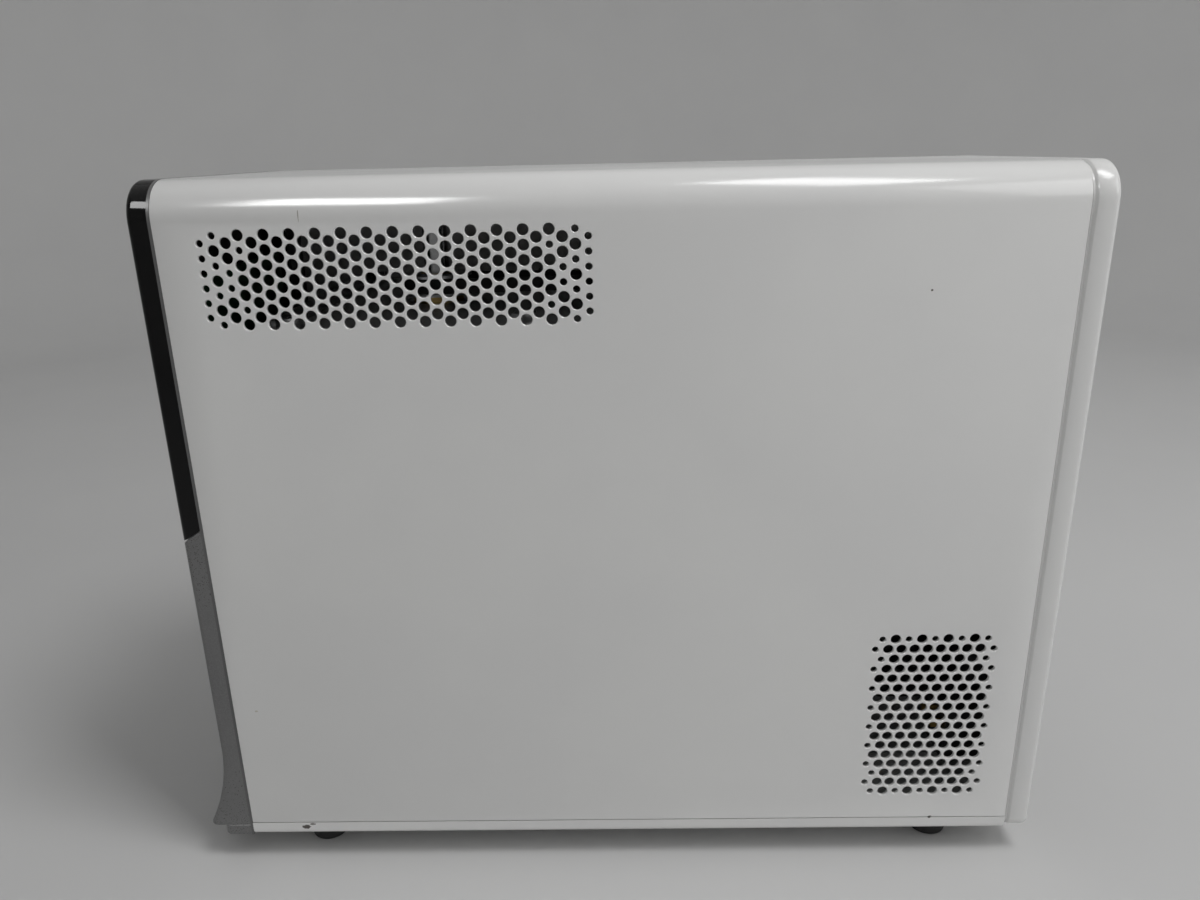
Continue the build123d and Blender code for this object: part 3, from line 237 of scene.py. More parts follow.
def moulding(borders, front, back, seeds=()):
    """Closed body between a front cap and a back cap.

    borders holds, for the outline and then for each opening, rings from the front cap to the back
    cap: (points in X and Z, depth). An opening's rings run clockwise. front and back give the depth
    of a cap as a function of X and Z.
    """
    patches = [walls([at_depth(points, depth) for points, depth in rings]) for rings in borders]
    for end, depth, turn in ((0, front, 1), (-1, back, -1)):
        flat, triangles = fill([rings[end][0] for rings in borders], seeds)
        patches.append((at_depth(flat, depth(flat[:, 0], flat[:, 1])), triangles[:, ::turn].tolist()))
    return joined(patches)


def turned(profile, steps=48):
    """Solid of revolution about Z: each profile point (radius, height) goes once round the axis.

    A profile that goes up has its faces on the outside, and a point on the axis closes the form
    with a single pole.
    """
    turn = -np.linspace(0, 2 * pi, steps, endpoint=False)
    rings = [
        np.column_stack([radius * np.cos(turn), radius * np.sin(turn), np.full(steps, height)])
        for radius, height in profile
    ]
    return joined([walls(rings)])


def round_over(radius, steps=6):
    """Pairs (inset, depth) of a quarter-round edge, from the face to the side."""
    turn = np.radians(np.linspace(0, 90, steps + 1))
    return np.stack([radius * (1 - np.sin(turn)), radius * (1 - np.cos(turn))], 1)


def lattice(columns, rows):
    """Column and row numbers of a close-packed lattice about its middle: those whose sum is even."""
    column, row = np.meshgrid(np.arange(-columns, columns + 1), np.arange(-rows, rows + 1), indexing="ij")
    chosen = (column + row) % 2 == 0
    return column[chosen], row[chosen]


def vent_holes():
    """Centre (Y, Z) and diameter of every hole of the two vents.

    The outermost columns of both vents are small. In the upper vent a few places of the next three
    columns are small too, counted from the middle row. In the lower one these are the ends of the
    next columns, and every second hole of the top and bottom rows.
    """
    row_pitch = hole_pitch * sqrt(3) / 2

    column, row = lattice(*upper_vent_reach)
    inward, high = upper_vent_reach[0] - abs(column), abs(row)
    small = inward == 0
    for step, small_rows in ((1, (2, 6)), (2, (1,)), (3, (4,))):
        small |= (inward == step) & np.isin(high, small_rows)
    upper = (upper_vent[0] + column * row_pitch, upper_vent[1] - row * hole_pitch / 2, small)

    column, row = lattice(*lower_vent_reach)
    inward, down = lower_vent_reach[0] - abs(column), lower_vent_reach[1] - abs(row)
    small = (inward == 0) | ((inward == 1) & (down <= 2)) | ((inward > 1) & (column % 4 == 0) & (down == 0))
    lower = (lower_vent[0] + column * hole_pitch / 2, lower_vent[1] - row * row_pitch, small)

    y, z, small = (np.concatenate(values) for values in zip(upper, lower))
    return y, z, np.where(small, small_hole, big_hole)


# Finishes


def feed(tree, socket, value):
    """Set a socket to a value, or link it to another node's output."""
    if isinstance(value, bpy.types.NodeSocket):
        tree.links.new(value, socket)
    else:
        socket.default_value = value


def add(tree, kind, sources=(), **settings):
    """New shader node. sources maps an input's name or number to a value or to another output."""
    made = tree.nodes.new("ShaderNode" + kind)
    for key, value in settings.items():
        setattr(made, key, value)
    for key, value in dict(sources).items():
        feed(tree, made.inputs[key], value)
    return made


def calc(tree, operation, *values):
    """Output of one sum on two or three values."""
    return add(tree, "Math", dict(enumerate(values)), operation=operation).outputs[0]


def vector_calc(tree, operation, *vectors):
    """Output of one sum on two vectors."""
    return add(tree, "VectorMath", dict(enumerate(vectors)), operation=operation).outputs[0]


def ramp(tree, value, low, high, new_low=0.0, new_high=1.0):
    """Value carried from one range to another along a smooth step."""
    sources = {"Value": value, "From Min": low, "From Max": high, "To Min": new_low, "To Max": new_high}
    return add(tree, "MapRange", sources, interpolation_type="SMOOTHSTEP").outputs[0]


def noise(tree, vector, scale, detail=2.0, roughness=0.5):
    """Grey value of a noise that has about scale waves to the metre."""
    sources = {"Vector": vector, "Scale": scale, "Detail": detail, "Roughness": roughness}
    return add(tree, "TexNoise", sources).outputs[0]


def mixed(tree, mask, first, second):
    """Colour between two, by a mask."""
    first, second = ((*c, 1.0) if isinstance(c, tuple) else c for c in (first, second))
    return add(tree, "Mix", {0: mask, 6: first, 7: second}, data_type="RGBA").outputs[2]


def new_group(name, output, **defaults):
    """Empty shader group: (tree, outputs of its input node, the socket that takes its result).

    It has a Vector input, and one for each default: a vector where that is a tuple, or else a value.
    """
    tree = bpy.data.node_groups.new(name, "ShaderNodeTree")
    tree.interface.new_socket("Vector", in_out="INPUT", socket_type="NodeSocketVector")
    for label, value in defaults.items():
        kind = "NodeSocketVector" if isinstance(value, tuple) else "NodeSocketFloat"
        tree.interface.new_socket(label, in_out="INPUT", socket_type=kind).default_value = value
    tree.interface.new_socket(output, in_out="OUTPUT", socket_type="NodeSocketFloat")
    given = tree.nodes.new("NodeGroupInput").outputs
    return tree, given, tree.nodes.new("NodeGroupOutput").inputs[output]


def relief_group():
    """Skin of a paint or moulding, as a height: soft waves with finer ones on them."""
    finer, share = 4.0, 0.3
    tree, given, result = new_group("skin_relief", "Height", Waves=400.0)
    coarse = noise(tree, given["Vector"], given["Waves"], 1.0)
    fine = noise(tree, given["Vector"], calc(tree, "MULTIPLY", given["Waves"], finer), 1.0)
    tree.links.new(calc(tree, "MULTIPLY_ADD", fine, share, coarse), result)
    return tree


def cloud_group():
    """Slow change of tone over a surface, from 0 to 1."""
    waves = 9.0
    tree, given, result = new_group("slow_tone", "Tone")
    slow = noise(tree, given["Vector"], waves, 3.0, 0.55)
    tree.links.new(ramp(tree, slow, 0.3, 0.7), result)
    return tree


def rub_group():
    """Fine rubs and scratches: thin lines between long cells, where a slow noise lets them show.

    The cells stand on a place that a noise bends, turned about X and then pulled out along Y. The
    more Amount there is, the lower the noise may be that still lets a line show.
    """
    bend_waves, bend = 25.0, 0.02
    lean, pull = 0.5, 0.16
    cell_waves, line_width = 40.0, 0.012
    patch_waves, patch_least, patch_reach, patch_fade = 14.0, 0.82, 0.4, 0.06
    tree, given, result = new_group("fine_rubs", "Mask", Amount=0.3)
    around = add(tree, "TexNoise", {"Vector": given["Vector"], "Scale": bend_waves, "Detail": 2.0})
    bent = vector_calc(tree, "MULTIPLY", around.outputs["Color"], (bend, bend, bend))
    place = vector_calc(tree, "ADD", given["Vector"], bent)
    leaning = add(tree, "VectorRotate", {"Vector": place, "Axis": (1, 0, 0), "Angle": lean}).outputs[0]
    long_place = vector_calc(tree, "MULTIPLY", leaning, (1.0, pull, 1.0))
    cells = add(tree, "TexVoronoi", {"Vector": long_place, "Scale": cell_waves}, feature="DISTANCE_TO_EDGE")
    line = ramp(tree, cells.outputs["Distance"], 0.0, line_width, 1.0, 0.0)
    slow = noise(tree, given["Vector"], patch_waves, 2.0)
    least = calc(tree, "SUBTRACT", patch_least, calc(tree, "MULTIPLY", given["Amount"], patch_reach))
    most = calc(tree, "ADD", least, patch_fade)
    shown = add(tree, "MapRange", {"Value": slow, "From Min": least, "From Max": most}).outputs[0]
    tree.links.new(calc(tree, "MULTIPLY", line, shown), result)
    return tree


def dust_group():
    """Dust that settles on faces that look up: a mask from the face's slope and two noises."""
    level_from = 0.35
    speck_waves, speck_share = 900.0, 0.6
    slow_waves, slow_share = 30.0, 0.5
    tree, given, result = new_group("settled_dust", "Mask", Amount=0.3)
    normal = add(tree, "NewGeometry").outputs["Normal"]
    up = ramp(tree, add(tree, "SeparateXYZ", {0: normal}).outputs[2], level_from, 1.0)
    specks = ramp(tree, noise(tree, given["Vector"], speck_waves, 3.0, 0.7), 0.5, 0.75)
    slow = calc(tree, "MULTIPLY", noise(tree, given["Vector"], slow_waves, 3.0), slow_share)
    both = calc(tree, "MULTIPLY", up, calc(tree, "MULTIPLY_ADD", specks, speck_share, slow))
    tree.links.new(calc(tree, "MULTIPLY", both, given["Amount"]), result)
    return tree


def brush_group():
    """Brushed or drawn metal: a noise squeezed across the brushing, as lines from 0 to 1."""
    tree, given, result = new_group("brushed_lines", "Lines", Squeeze=(40.0, 40.0, 2500.0))
    place = vector_calc(tree, "MULTIPLY", given["Vector"], given["Squeeze"])
    tree.links.new(noise(tree, place, 1.0, 3.0, 0.6), result)
    return tree


def flake_group():
    """Flakes of a metallic paint: each small cell has its own brightness, from 0 to 1."""
    waves = 2600.0
    tree, given, result = new_group("paint_flakes", "Flake")
    cells = add(tree, "TexVoronoi", {"Vector": given["Vector"], "Scale": waves}).outputs["Color"]
    tree.links.new(add(tree, "SeparateColor", {0: cells}).outputs[0], result)
    return tree


groups = {
    "relief": relief_group(),
    "cloud": cloud_group(),
    "rubs": rub_group(),
    "dust": dust_group(),
    "brush": brush_group(),
    "flakes": flake_group(),
}
dust_colour = (0.62, 0.6, 0.56)


def use(tree, name, **values):
    """Only output of one of the shared groups, placed in a material."""
    made = tree.nodes.new("ShaderNodeGroup")
    made.node_tree = groups[name]
    for label, value in values.items():
        feed(tree, made.inputs[label], value)
    return made.outputs[0]


def marked(tree, place, base, centre, size, colour):
    """Colour with a small ragged mark on it: an ellipsoid whose edge a fine noise pushes about."""
    edge_waves, edge_push = 900.0, 0.9
    edge_from, edge_to = 1.2, 1.5
    away = vector_calc(tree, "SUBTRACT", place, tuple(c * MM for c in centre))
    scaled = vector_calc(tree, "MULTIPLY", away, tuple(1 / (s * MM) for s in size))
    far = add(tree, "VectorMath", {0: scaled}, operation="LENGTH").outputs["Value"]
    ragged = calc(tree, "MULTIPLY_ADD", noise(tree, place, edge_waves, 3.0), edge_push, far)
    return mixed(tree, ramp(tree, ragged, edge_from, edge_to, 1.0, 0.0), base, colour)


def finish(
    name,
    colour,
    shade,
    rough,
    rough_range=0.06,
    metallic=0.0,
    ior=1.5,
    waves=400.0,
    relief=0.0,
    squeeze=None,
    flakes=0.0,
    rubs=0.0,
    rub_colour=(0.5, 0.5, 0.5),
    dust=0.15,
    marks=(),
):
    """Material of one finish.

    Its colour drifts to the shade along slow clouds, rubs and marks show their own colour, dust
    pales what looks up, and the roughness follows clouds, brushing, flakes, rubs and dust. relief
    is the height of the skin, or of the brushing, in millimetres.
    """
    brush_tone, brush_gloss = 0.5, 0.25
    flake_light, flake_gloss = 1.6, 0.2
    rub_tone, rub_gloss, dust_gloss = 0.6, 0.25, 0.6
    material = bpy.data.materials.new(name)
    material.use_nodes = True
    tree = material.node_tree
    shader = tree.nodes["Principled BSDF"]
    place = add(tree, "TexCoord").outputs["Object"]
    tone = use(tree, "cloud", Vector=place)
    base = mixed(tree, tone, colour, shade)
    gloss = calc(tree, "MULTIPLY_ADD", tone, rough_range, rough - rough_range / 2)
    if squeeze:
        height = use(tree, "brush", Vector=place, Squeeze=squeeze)
        base = mixed(tree, calc(tree, "MULTIPLY", height, brush_tone), base, shade)
        gloss = calc(tree, "MULTIPLY_ADD", calc(tree, "SUBTRACT", height, 0.5), brush_gloss, gloss)
    elif relief:
        height = use(tree, "relief", Vector=place, Waves=waves)
    if flakes:
        flake = use(tree, "flakes", Vector=place)
        bright = tuple(min(1.0, flake_light * c) for c in colour)
        base = mixed(tree, calc(tree, "MULTIPLY", flake, flakes), base, bright)
        gloss = calc(tree, "MULTIPLY_ADD", calc(tree, "SUBTRACT", flake, 0.5), flake_gloss, gloss)
    if rubs:
        mask = calc(tree, "MULTIPLY", use(tree, "rubs", Vector=place, Amount=rubs), rub_tone)
        base = mixed(tree, mask, base, rub_colour)
        gloss = calc(tree, "MULTIPLY_ADD", mask, rub_gloss, gloss)
    for centre, size, mark_colour in marks:
        base = marked(tree, place, base, centre, size, mark_colour)
    if dust:
        settled = use(tree, "dust", Vector=place, Amount=dust)
        base = mixed(tree, settled, base, dust_colour)
        gloss = calc(tree, "MULTIPLY_ADD", settled, dust_gloss, gloss)
    if relief:
        bump = add(tree, "Bump", {"Height": height, "Strength": 1.0, "Distance": relief * MM})
        tree.links.new(bump.outputs[0], shader.inputs["Normal"])
    tree.links.new(base, shader.inputs["Base Color"])
    tree.links.new(gloss, shader.inputs["Roughness"])
    shader.inputs["Metallic"].default_value = metallic
    shader.inputs["IOR"].default_value = ior
    return material


# Marks on the right side of the cover: place, half sizes and colour of a scuff with its lighter
# tail, a chip at the lower edge, a speck, a scratch and a crumb
paint_marks = [
    ((half_width, -154.3, 18.6), (3.0, 2.2, 1.4), (0.10, 0.09, 0.08)),
    ((half_width, -151.0, 20.2), (3.0, 1.6, 0.7), (0.25, 0.24, 0.23)),
    ((half_width, 153.4, 21.4), (3.0, 1.0, 0.8), (0.16, 0.15, 0.14)),
    ((half_width, 131.1, 279.0), (3.0, 0.55, 0.45), (0.10, 0.09, 0.08)),
    ((half_width, -121.6, 313.6), (3.0, 0.25, 2.6), (0.42, 0.40, 0.37)),
    ((half_width, -170.1, 85.6), (3.0, 0.9, 0.5), (0.62, 0.60, 0.54)),
]
white = dict(colour=(0.80, 0.80, 0.79), shade=(0.77, 0.77, 0.765))
looks = {
    "white_paint": dict(
        white, rough=0.17, rough_range=0.04, waves=260.0, relief=0.004,
        rubs=0.12, rub_colour=(0.6, 0.6, 0.58), dust=0.04, marks=paint_marks,
    ),
    "white_moulding": dict(
        white, rough=0.22, rough_range=0.05, waves=900.0, relief=0.002,
        rubs=0.15, rub_colour=(0.62, 0.61, 0.58), dust=0.05,
    ),
    "grey_plate": dict(
        colour=(0.12, 0.12, 0.12), shade=(0.09, 0.09, 0.09), rough=0.38, waves=1800.0, relief=0.004,
    ),
    "black_gloss": dict(
        colour=(0.002, 0.002, 0.0022), shade=(0.003, 0.003, 0.003), rough=0.07, rough_range=0.04,
        ior=1.3, waves=160.0, relief=0.001, rubs=0.25, rub_colour=(0.03, 0.03, 0.03), dust=0.05,
    ),
    "silver_paint": dict(
        colour=(0.17, 0.17, 0.17), shade=(0.14, 0.14, 0.142), rough=0.38, metallic=0.6,
        waves=2200.0, relief=0.004, flakes=0.4, rubs=0.1, rub_colour=(0.12, 0.12, 0.12), dust=0.1,
    ),
    "black_rubber": dict(
        colour=(0.018, 0.018, 0.018), shade=(0.03, 0.03, 0.03), rough=0.72, waves=1400.0, relief=0.02,
    ),
    "screen_glass": dict(
        colour=(0.003, 0.003, 0.004), shade=(0.004, 0.004, 0.005), rough=0.05, rough_range=0.02, dust=0.03,
    ),
    "screen": dict(colour=(0.012, 0.014, 0.018), shade=(0.015, 0.017, 0.022), rough=0.25, dust=0.0),
    "circuit_board": dict(
        colour=(0.012, 0.09, 0.035), shade=(0.02, 0.06, 0.02), rough=0.4, waves=500.0, relief=0.03,
    ),
    "aluminium": dict(
        colour=(0.70, 0.70, 0.71), shade=(0.55, 0.55, 0.56), rough=0.36, metallic=1.0,
        squeeze=(1500.0, 30.0, 1500.0), relief=0.002,
    ),
    "blue_anodised": dict(
        colour=(0.04, 0.10, 0.30), shade=(0.03, 0.07, 0.22), rough=0.35, metallic=0.9,
        waves=1800.0, relief=0.002,
    ),
    "ground_steel": dict(
        colour=(0.60, 0.60, 0.60), shade=(0.46, 0.46, 0.47), rough=0.22, metallic=1.0,
        squeeze=(60.0, 60.0, 1800.0), relief=0.001,
    ),
    "sheet_steel": dict(
        colour=(0.50, 0.50, 0.50), shade=(0.38, 0.39, 0.40), rough=0.40, metallic=1.0,
        waves=60.0, relief=0.003, rubs=0.3, rub_colour=(0.3, 0.3, 0.3),
    ),
    "brass": dict(
        colour=(0.72, 0.52, 0.20), shade=(0.55, 0.38, 0.13), rough=0.30, metallic=1.0,
        waves=900.0, relief=0.002,
    ),
    "motor_black": dict(
        colour=(0.02, 0.02, 0.02), shade=(0.035, 0.035, 0.035), rough=0.45, waves=900.0, relief=0.01,
    ),
    "insulation": dict(
        colour=(0.55, 0.50, 0.40), shade=(0.48, 0.42, 0.33), rough=0.8, waves=700.0, relief=0.05,
    ),
    "black_plastic": dict(
        colour=(0.02, 0.02, 0.021), shade=(0.028, 0.028, 0.028), rough=0.4, waves=2200.0, relief=0.008,
        dust=0.1,
    ),
    "plated_metal": dict(
        colour=(0.62, 0.62, 0.60), shade=(0.50, 0.50, 0.48), rough=0.28, metallic=1.0,
        waves=900.0, relief=0.002,
    ),
}
finishes = {name: finish(name, **look) for name, look in looks.items()}

# Every node of the frame keeps its shape and gets the finish of its slot
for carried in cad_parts.values():
    for number, old in enumerate(carried.data.materials):
        carried.data.materials[number] = finishes[old.name.split(".")[0]]


# Cover


def section(inset, steps=14):
    """Path of the cover across the object, from the left lower edge over the top to the right one.

    Two upright lines and a level one, joined by two quarter arcs; inset is measured inwards.
    """
    reach, radius = half_width - inset, edge_radius - inset
    left = arc((edge_radius - half_width, top - edge_radius), radius, 180, 90, steps)
    right = arc((half_width - edge_radius, top - edge_radius), radius, 90, 0, steps)
    return np.concatenate([[(-reach, cover_low[2])], left, right, [(reach, cover_low[2])]])


def make_cover():
    """Folded sheet with its vents.

    A closed ring of insets and depths is carried along the section. On the right side the wide
    outer and inner faces are flat areas filled around the round holes.
    """
    soft, soft_middle = 0.4, 0.12
    front, rear = cover_low[1], cover_high[1]
    ring = [
        (sheet, front), (soft, front), (soft_middle, front + soft_middle), (0.0, front + soft),
        (0.0, rear - soft), (soft_middle, rear - soft_middle), (soft, rear), (sheet, rear),
    ]
    outer_face, inner_face = 3, 7
    points = np.stack([at_depth(section(inset), depth) for inset, depth in ring], 1)
    length, around = points.shape[:2]
    faces = []
    for k in range(length - 1):
        for j in range(around):
            if k == length - 2 and j in (outer_face, inner_face):
                continue
            a, b = k * around + j, k * around + (j + 1) % around
            faces.append([a, a + around, b + around, b])
    faces.append(list(range(around)))
    faces.append([(length - 1) * around + j for j in range(around)][::-1])
    patches = [(points.reshape(-1, 3), faces)]

    y, z, diameter = vent_holes()
    turn = -np.linspace(0, 2 * pi, hole_steps, endpoint=False)
    circle = np.stack([np.cos(turn), np.sin(turn)], 1)

    def rims(extra):
        """Clockwise rim of every hole, as one array of holes, points and plane axes."""
        radius = diameter / 2 + extra
        return np.stack([y, z], 1)[:, None] + radius[:, None, None] * circle

    wide, bore = rims(hole_edge), rims(0.0)
    z_low, z_high = cover_low[2], top - edge_radius
    for rim, x, start, end, turn_over in (
        (wide, half_width, front + soft, rear - soft, 1),
        (bore, half_width - sheet, front, rear, -1),
    ):
        outline = np.array([(start, z_low), (end, z_low), (end, z_high), (start, z_high)])
        flat, triangles = fill([outline, *rim])
        spots = np.column_stack([np.full(len(flat), x), flat])
        patches.append((spots, triangles[:, ::turn_over].tolist()))
    for wide_rim, bore_rim in zip(wide, bore):
        steps = ((wide_rim, 0.0), (bore_rim, hole_edge), (bore_rim, sheet))
        rings = [np.column_stack([np.full(hole_steps, half_width - depth), rim]) for rim, depth in steps]
        patches.append(walls(rings))
    points, faces = joined(patches)
    put_mesh("cover_shell", points, faces, "white_paint", "housing", ["cover"])


make_cover()


# Front strip


def flare(z):
    """Depth of the strip's face at a height: flat above, then an arc that sweeps forward to the toe."""
    run, drop = strip_face - toe_tip, flare_top - toe_top
    radius = (run**2 + drop**2) / (2 * run)
    below = np.clip(flare_top - np.asarray(z, float), 0.0, drop)
    return strip_face - radius + np.sqrt(radius**2 - below**2)


def flare_seeds(bottom, reach):
    """Points over the flare in level rows close together, which let the filled face curve."""
    step, across = 1.5, 23
    x, z = np.meshgrid(np.linspace(-reach, reach, across), np.arange(bottom + step, flare_top, step))
    return np.stack([x.ravel(), z.ravel()], 1)


def make_fascia():
    """Gloss upper part: a hollow tray, with a stepped opening that holds the glass over the screen."""
    soft, foot_corner = 0.3, 0.4
    play, bevel = 0.15, 0.25
    border_x, border_z, screen_corner = 8.0, 9.5, 0.5
    inside = strip_face + strip_wall
    ledge = glass_high[1]

    def outline(inset, depth):
        """Outer border at a depth, whose lower edge climbs with the junction."""
        low = junction_front + junction_slope * (depth - strip_face) + min(inset, soft)
        reach = half_width - inset
        return rounded(-reach, reach, low, top - inset, edge_radius - inset, foot_corner)

    def opening(extra_x, extra_z, radius):
        """Clockwise border of the glass, grown by an extra on each side."""
        left, right = glass_low[0] - extra_x, glass_high[0] + extra_x
        low, high = glass_low[2] - extra_z, glass_high[2] + extra_z
        return rounded(left, right, low, high, radius, radius, 6)[::-1]

    depths = [(inset, strip_face + depth) for inset, depth in round_over(strip_round)]
    rings = [(outline(inset, depth), depth) for inset, depth in [*depths, (0.0, strip_rear)]]
    hollow = rounded(
        strip_wall - half_width, half_width - strip_wall, junction_front + junction_rise + strip_wall,
        top - strip_wall, edge_radius - strip_wall, foot_corner,
    )
    rings += [(hollow, strip_rear), (hollow, inside)]
    rim, pane = opening(play + bevel, play + bevel, strip_wall), opening(play, play, strip_wall)
    screen = opening(-border_x, -border_z, screen_corner)
    steps = [(rim, strip_face), (pane, strip_face + bevel), (pane, ledge), (screen, ledge), (screen, inside)]
    points, faces = moulding([rings, steps], lambda x, z: strip_face, lambda x, z: inside)
    put_mesh("gloss_fascia", points, faces, "black_gloss", "housing", ["upper_fascia"])


make_fascia()


def make_lower_bezel():
    """Silver lower part: flared face with round sides, the drawer's opening through it, and a plinth."""
    lower_soft, upper_soft, opening_soft = 0.4, 0.3, 0.4
    corner_steps, opening_steps, opening_parts = 3, 6, 12
    level_step, flat_level = 2.0, 110.0
    bottom = toe_top - lip_height
    height = junction_front - junction_gap
    levels = np.concatenate([np.arange(bottom + level_step, flare_top, level_step), [flare_top, flat_level]])

    def outline(inset, rise):
        """Outer border with small corners; the points on its sides stand at the flare's levels."""
        reach = half_width - inset
        low, high = bottom + min(inset, lower_soft), height + rise - min(inset, upper_soft)
        right = np.column_stack([np.full(len(levels), reach), levels])
        left = np.column_stack([np.full(len(levels), -reach), levels[::-1]])
        corners = rounded(-reach, reach, low, high, lower_soft, lower_soft, corner_steps)
        lower_right, above, lower_left = np.split(corners, [corner_steps + 1, 3 * (corner_steps + 1)])
        return np.concatenate([lower_right, right, above, left, lower_left])

    rings = []
    for inset, depth in round_over(strip_round):
        loop = outline(inset, junction_slope * depth)
        rings.append((loop, flare(loop[:, 1]) + depth))
    rings.append((outline(0.0, junction_rise), strip_rear))

    gap = aperture_gap
    reach, low, high = drawer_high[0] + gap, drawer_low[2] - gap, drawer_high[2] + gap

    def opening(extra):
        """Clockwise border of the drawer's opening, grown by an extra on each side."""
        loop = rounded(
            -reach - extra, reach + extra, low - extra, high + extra,
            aperture_corner, aperture_corner, opening_steps,
        )
        return uprights_cut(loop, opening_steps, opening_parts)[::-1]

    rim, bore = opening(opening_soft), opening(0.0)
    steps = [(rim, flare(rim[:, 1])), (bore, flare(bore[:, 1]) + opening_soft), (bore, strip_rear)]
    seeds = flare_seeds(bottom, half_width - strip_round - 3.0)
    clear = (abs(seeds[:, 0]) > reach + 1.5) | (seeds[:, 1] < low - 1.2)
    face = moulding([rings, steps], lambda x, z: flare(z), lambda x, z: strip_rear, seeds[clear])

    plinth_face = toe_tip + plinth_setback
    block = []
    for inset, depth in round_over(strip_round):
        side, foot = half_width - inset, bezel_low[2] + min(inset, 0.3)
        block.append((rounded(-side, side, foot, bottom - 0.02, 0.2, 0.3, 3), plinth_face + depth))
    block.append((block[-1][0], strip_rear))
    plinth = moulding([block], lambda x, z: plinth_face, lambda x, z: strip_rear)
    points, faces = together([face, plinth])
    put_mesh("flared_bezel", points, faces, "silver_paint", "housing", ["lower_bezel"])


make_lower_bezel()


def make_drawer_front():
    """Drawer's face: the piece of the flared face that fills the opening, with a soft edge."""
    soft, steps, parts = 0.6, 6, 12
    back = drawer_high[1]
    reach, low, high = drawer_high[0], drawer_low[2], drawer_high[2]
    rings = []
    for inset, depth in round_over(soft, 3):
        corner = aperture_corner - aperture_gap - inset
        loop = rounded(inset - reach, reach - inset, low + inset, high - inset, corner, corner, steps)
        loop = uprights_cut(loop, steps, parts)
        rings.append((loop, flare(loop[:, 1]) + depth))
    rings.append((rings[-1][0], back))
    seeds = flare_seeds(low + 1.0, reach - 3.0)
    points, faces = moulding([rings], lambda x, z: flare(z), lambda x, z: back, seeds)
    put_mesh("drawer_face", points, faces, "silver_paint", "drawer", ["drawer_front"])


make_drawer_front()


def make_glass():
    """Cover glass of the touch screen with a ground edge; it stays a hair off its ledge."""
    ground, corner, seat_gap = 0.35, 2.3, 0.02
    back = glass_high[1] - seat_gap
    rings = []
    for inset, depth in round_over(ground, 3):
        left, right = glass_low[0] + inset, glass_high[0] - inset
        loop = rounded(left, right, glass_low[2] + inset, glass_high[2] - inset, corner, corner, 6)
        rings.append((loop, strip_face + depth))
    rings.append((rings[-1][0], back))
    points, faces = moulding([rings], lambda x, z: strip_face, lambda x, z: back)
    put_mesh("screen_pane", points, faces, "screen_glass", "housing", ["touch_glass"])


make_glass()


# Rear ring and feet


def make_rear_bezel():
    """Moulded ring: a closed profile of insets and depths, carried round the outline of the housing.

    The profile has a tongue that goes under the cover, the shadow groove, a round outer edge and a
    small chamfer inside.
    """
    front, rear = ring_low[1], ring_high[1]
    tongue_inset, tongue = 1.8, 0.6
    chamfer, least_corner = 0.5, 0.6
    ramp_start, ramp_end = front + groove_width - 0.5, front + groove_width + 0.5
    profile = [
        (ring_wall, front),
        (tongue_inset, front),
        (tongue_inset, front + tongue),
        (groove_depth + 0.15, front + tongue),
        (groove_depth, front + tongue + 0.15),
        (groove_depth, ramp_start),
        (0.2, ramp_end - 0.4),
        (0.0, ramp_end),
    ]
    profile += [(inset, rear - depth) for inset, depth in round_over(ring_round)[::-1]]
    profile += [(ring_wall - chamfer, rear), (ring_wall, rear - chamfer)]
    rings = []
    for inset, depth in profile:
        reach, foot_corner = half_width - inset, max(ring_foot_radius - inset, least_corner)
        loop = rounded(
            -reach, reach, ring_low[2] + inset, top - inset, edge_radius - inset, foot_corner, 14
        )
        rings.append(at_depth(loop, depth))
    points, faces = joined([walls(rings, closed=True)])
    put_mesh("rear_ring", points, faces, "white_moulding", "housing", ["rear_bezel"])


make_rear_bezel()


def make_feet():
    """Rubber feet: a turned profile with a soft rim and a shallow groove, at the frame's four places."""
    low, high = box_mm("rubber_feet")
    radius, height = 11.0, tray_low[2]
    back = height - 0.02
    profile = [(0.0, 0.0), (6.5, 0.0), (6.8, 0.5), (7.6, 0.5), (8.0, 0.0), (8.4, 0.05), (9.0, 0.5)]
    profile += [(9.2, 1.4), (10.6, height - 2.0), (radius, height - 1.2), (radius, back), (0.0, back)]
    foot_points, foot_faces = turned(profile)
    feet = [
        (foot_points + (x, y, 0.0), foot_faces)
        for x in (low[0] + radius, high[0] - radius)
        for y in (low[1] + radius, high[1] - radius)
    ]
    points, faces = together(feet)
    put_mesh("soft_feet", points, faces, "black_rubber", "housing", ["rubber_feet"])


make_feet()


# Stage


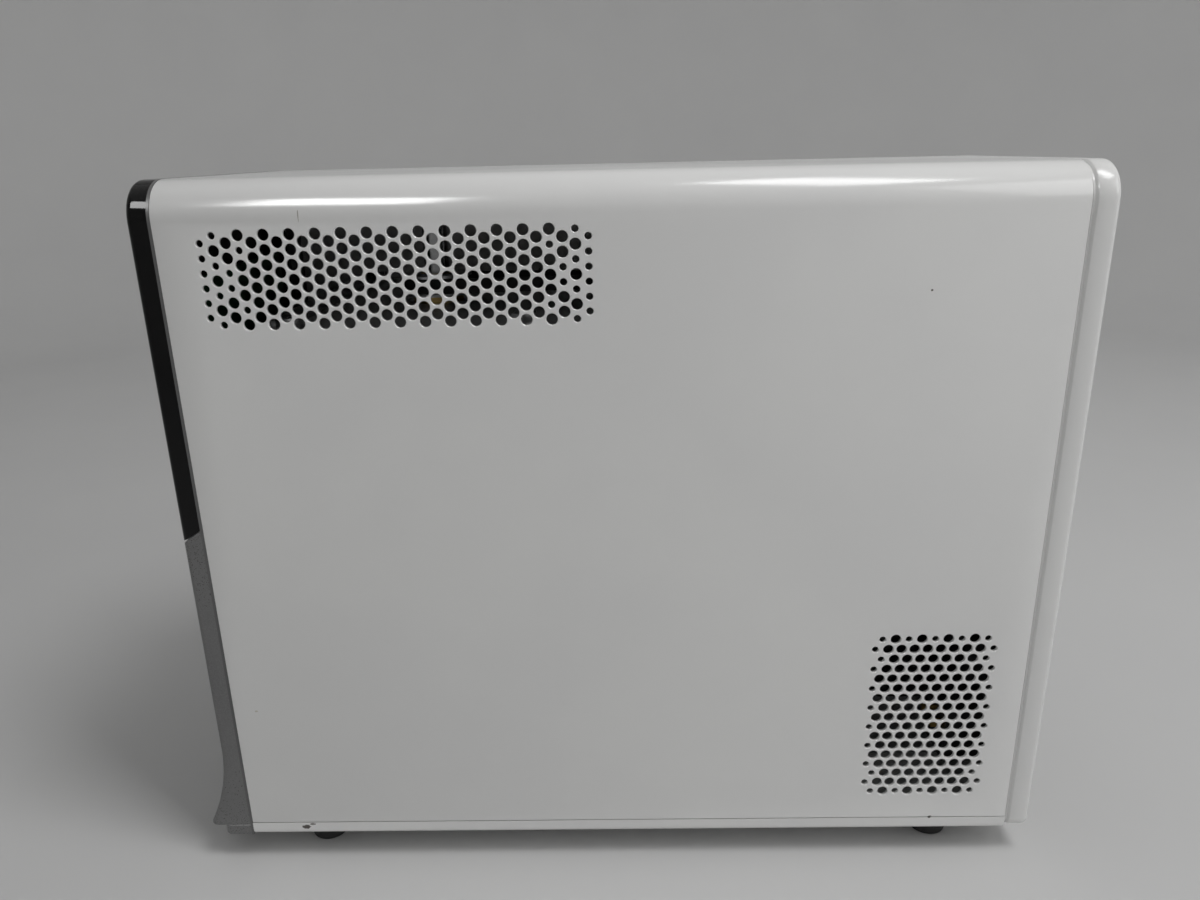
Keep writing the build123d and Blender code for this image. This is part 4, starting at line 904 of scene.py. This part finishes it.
def make_stage():
    """Pale floor that curves up into a round wall: a level disc, a quarter arc and an upright.

    The profile is turned from the wall's upper edge to the middle, so its faces look inwards.
    """
    middle, flat, bend, wall = 300.0, 1500.0, 700.0, 2600.0
    profile = [(0.0, 0.0), (middle, 0.0), (flat - 10.0, 0.0)]
    profile += [*arc((flat, bend), bend, -90, 0, 16), (flat + bend, wall)]
    points, faces = turned(profile[::-1], 96)
    material = bpy.data.materials.new("pale_floor")
    material.use_nodes = True
    tree = material.node_tree
    shader = tree.nodes["Principled BSDF"]
    place = add(tree, "TexCoord").outputs["Object"]
    base = mixed(tree, noise(tree, place, 6.0, 3.0), (0.60, 0.60, 0.60), (0.64, 0.64, 0.635))
    tree.links.new(base, shader.inputs["Base Color"])
    shader.inputs["Roughness"].default_value = 0.6
    floor = new_object("floor", points, faces, material)


make_stage()


def lamp(name, place, target, size, power):
    """Soft rectangular lamp at a place, in metres, that looks at its target."""
    light = bpy.data.lights.new(name, "AREA")
    light.shape = "RECTANGLE"
    light.size, light.size_y = size
    light.energy = power
    holder = bpy.data.objects.new(name, light)
    holder.location = place
    holder.rotation_euler = (Vector(target) - Vector(place)).to_track_quat("-Z", "Y").to_euler()
    bpy.context.scene.collection.objects.link(holder)
    return holder


# The window lights only what mirrors it, such as the gloss fascia
lamp("overhead", (0.45, 0.63, 1.75), (0.0, 0.05, 0.2), (0.5, 0.7), 11.0)
lamp("room", (0.9, 1.6, 1.2), (0.0, 0.15, 0.2), (1.0, 1.0), 7.0)
window = lamp("side_window", (0.98, -0.79, 1.22), (0.08, -0.19, 0.3), (0.6, 0.4), 14.0)
window.visible_diffuse = False

world = bpy.data.worlds.new("studio")
world.use_nodes = True
background = world.node_tree.nodes["Background"]
background.inputs["Color"].default_value = (1.0, 1.0, 1.0, 1.0)
background.inputs["Strength"].default_value = 0.38
bpy.context.scene.world = world
bpy.context.scene.view_settings.view_transform = "Standard"

# Camera, found by laying the two hole lattices over those in the photograph
camera = bpy.data.objects.new("camera", bpy.data.cameras.new("camera"))
camera.data.lens = 27.366
camera.data.sensor_width = 36.0
camera.data.sensor_fit = "HORIZONTAL"
camera.location = (0.45932, 0.00344, 0.336)
camera.rotation_euler = (radians(71.708), radians(1.237), radians(90.749))
bpy.context.scene.collection.objects.link(camera)
bpy.context.scene.camera = camera
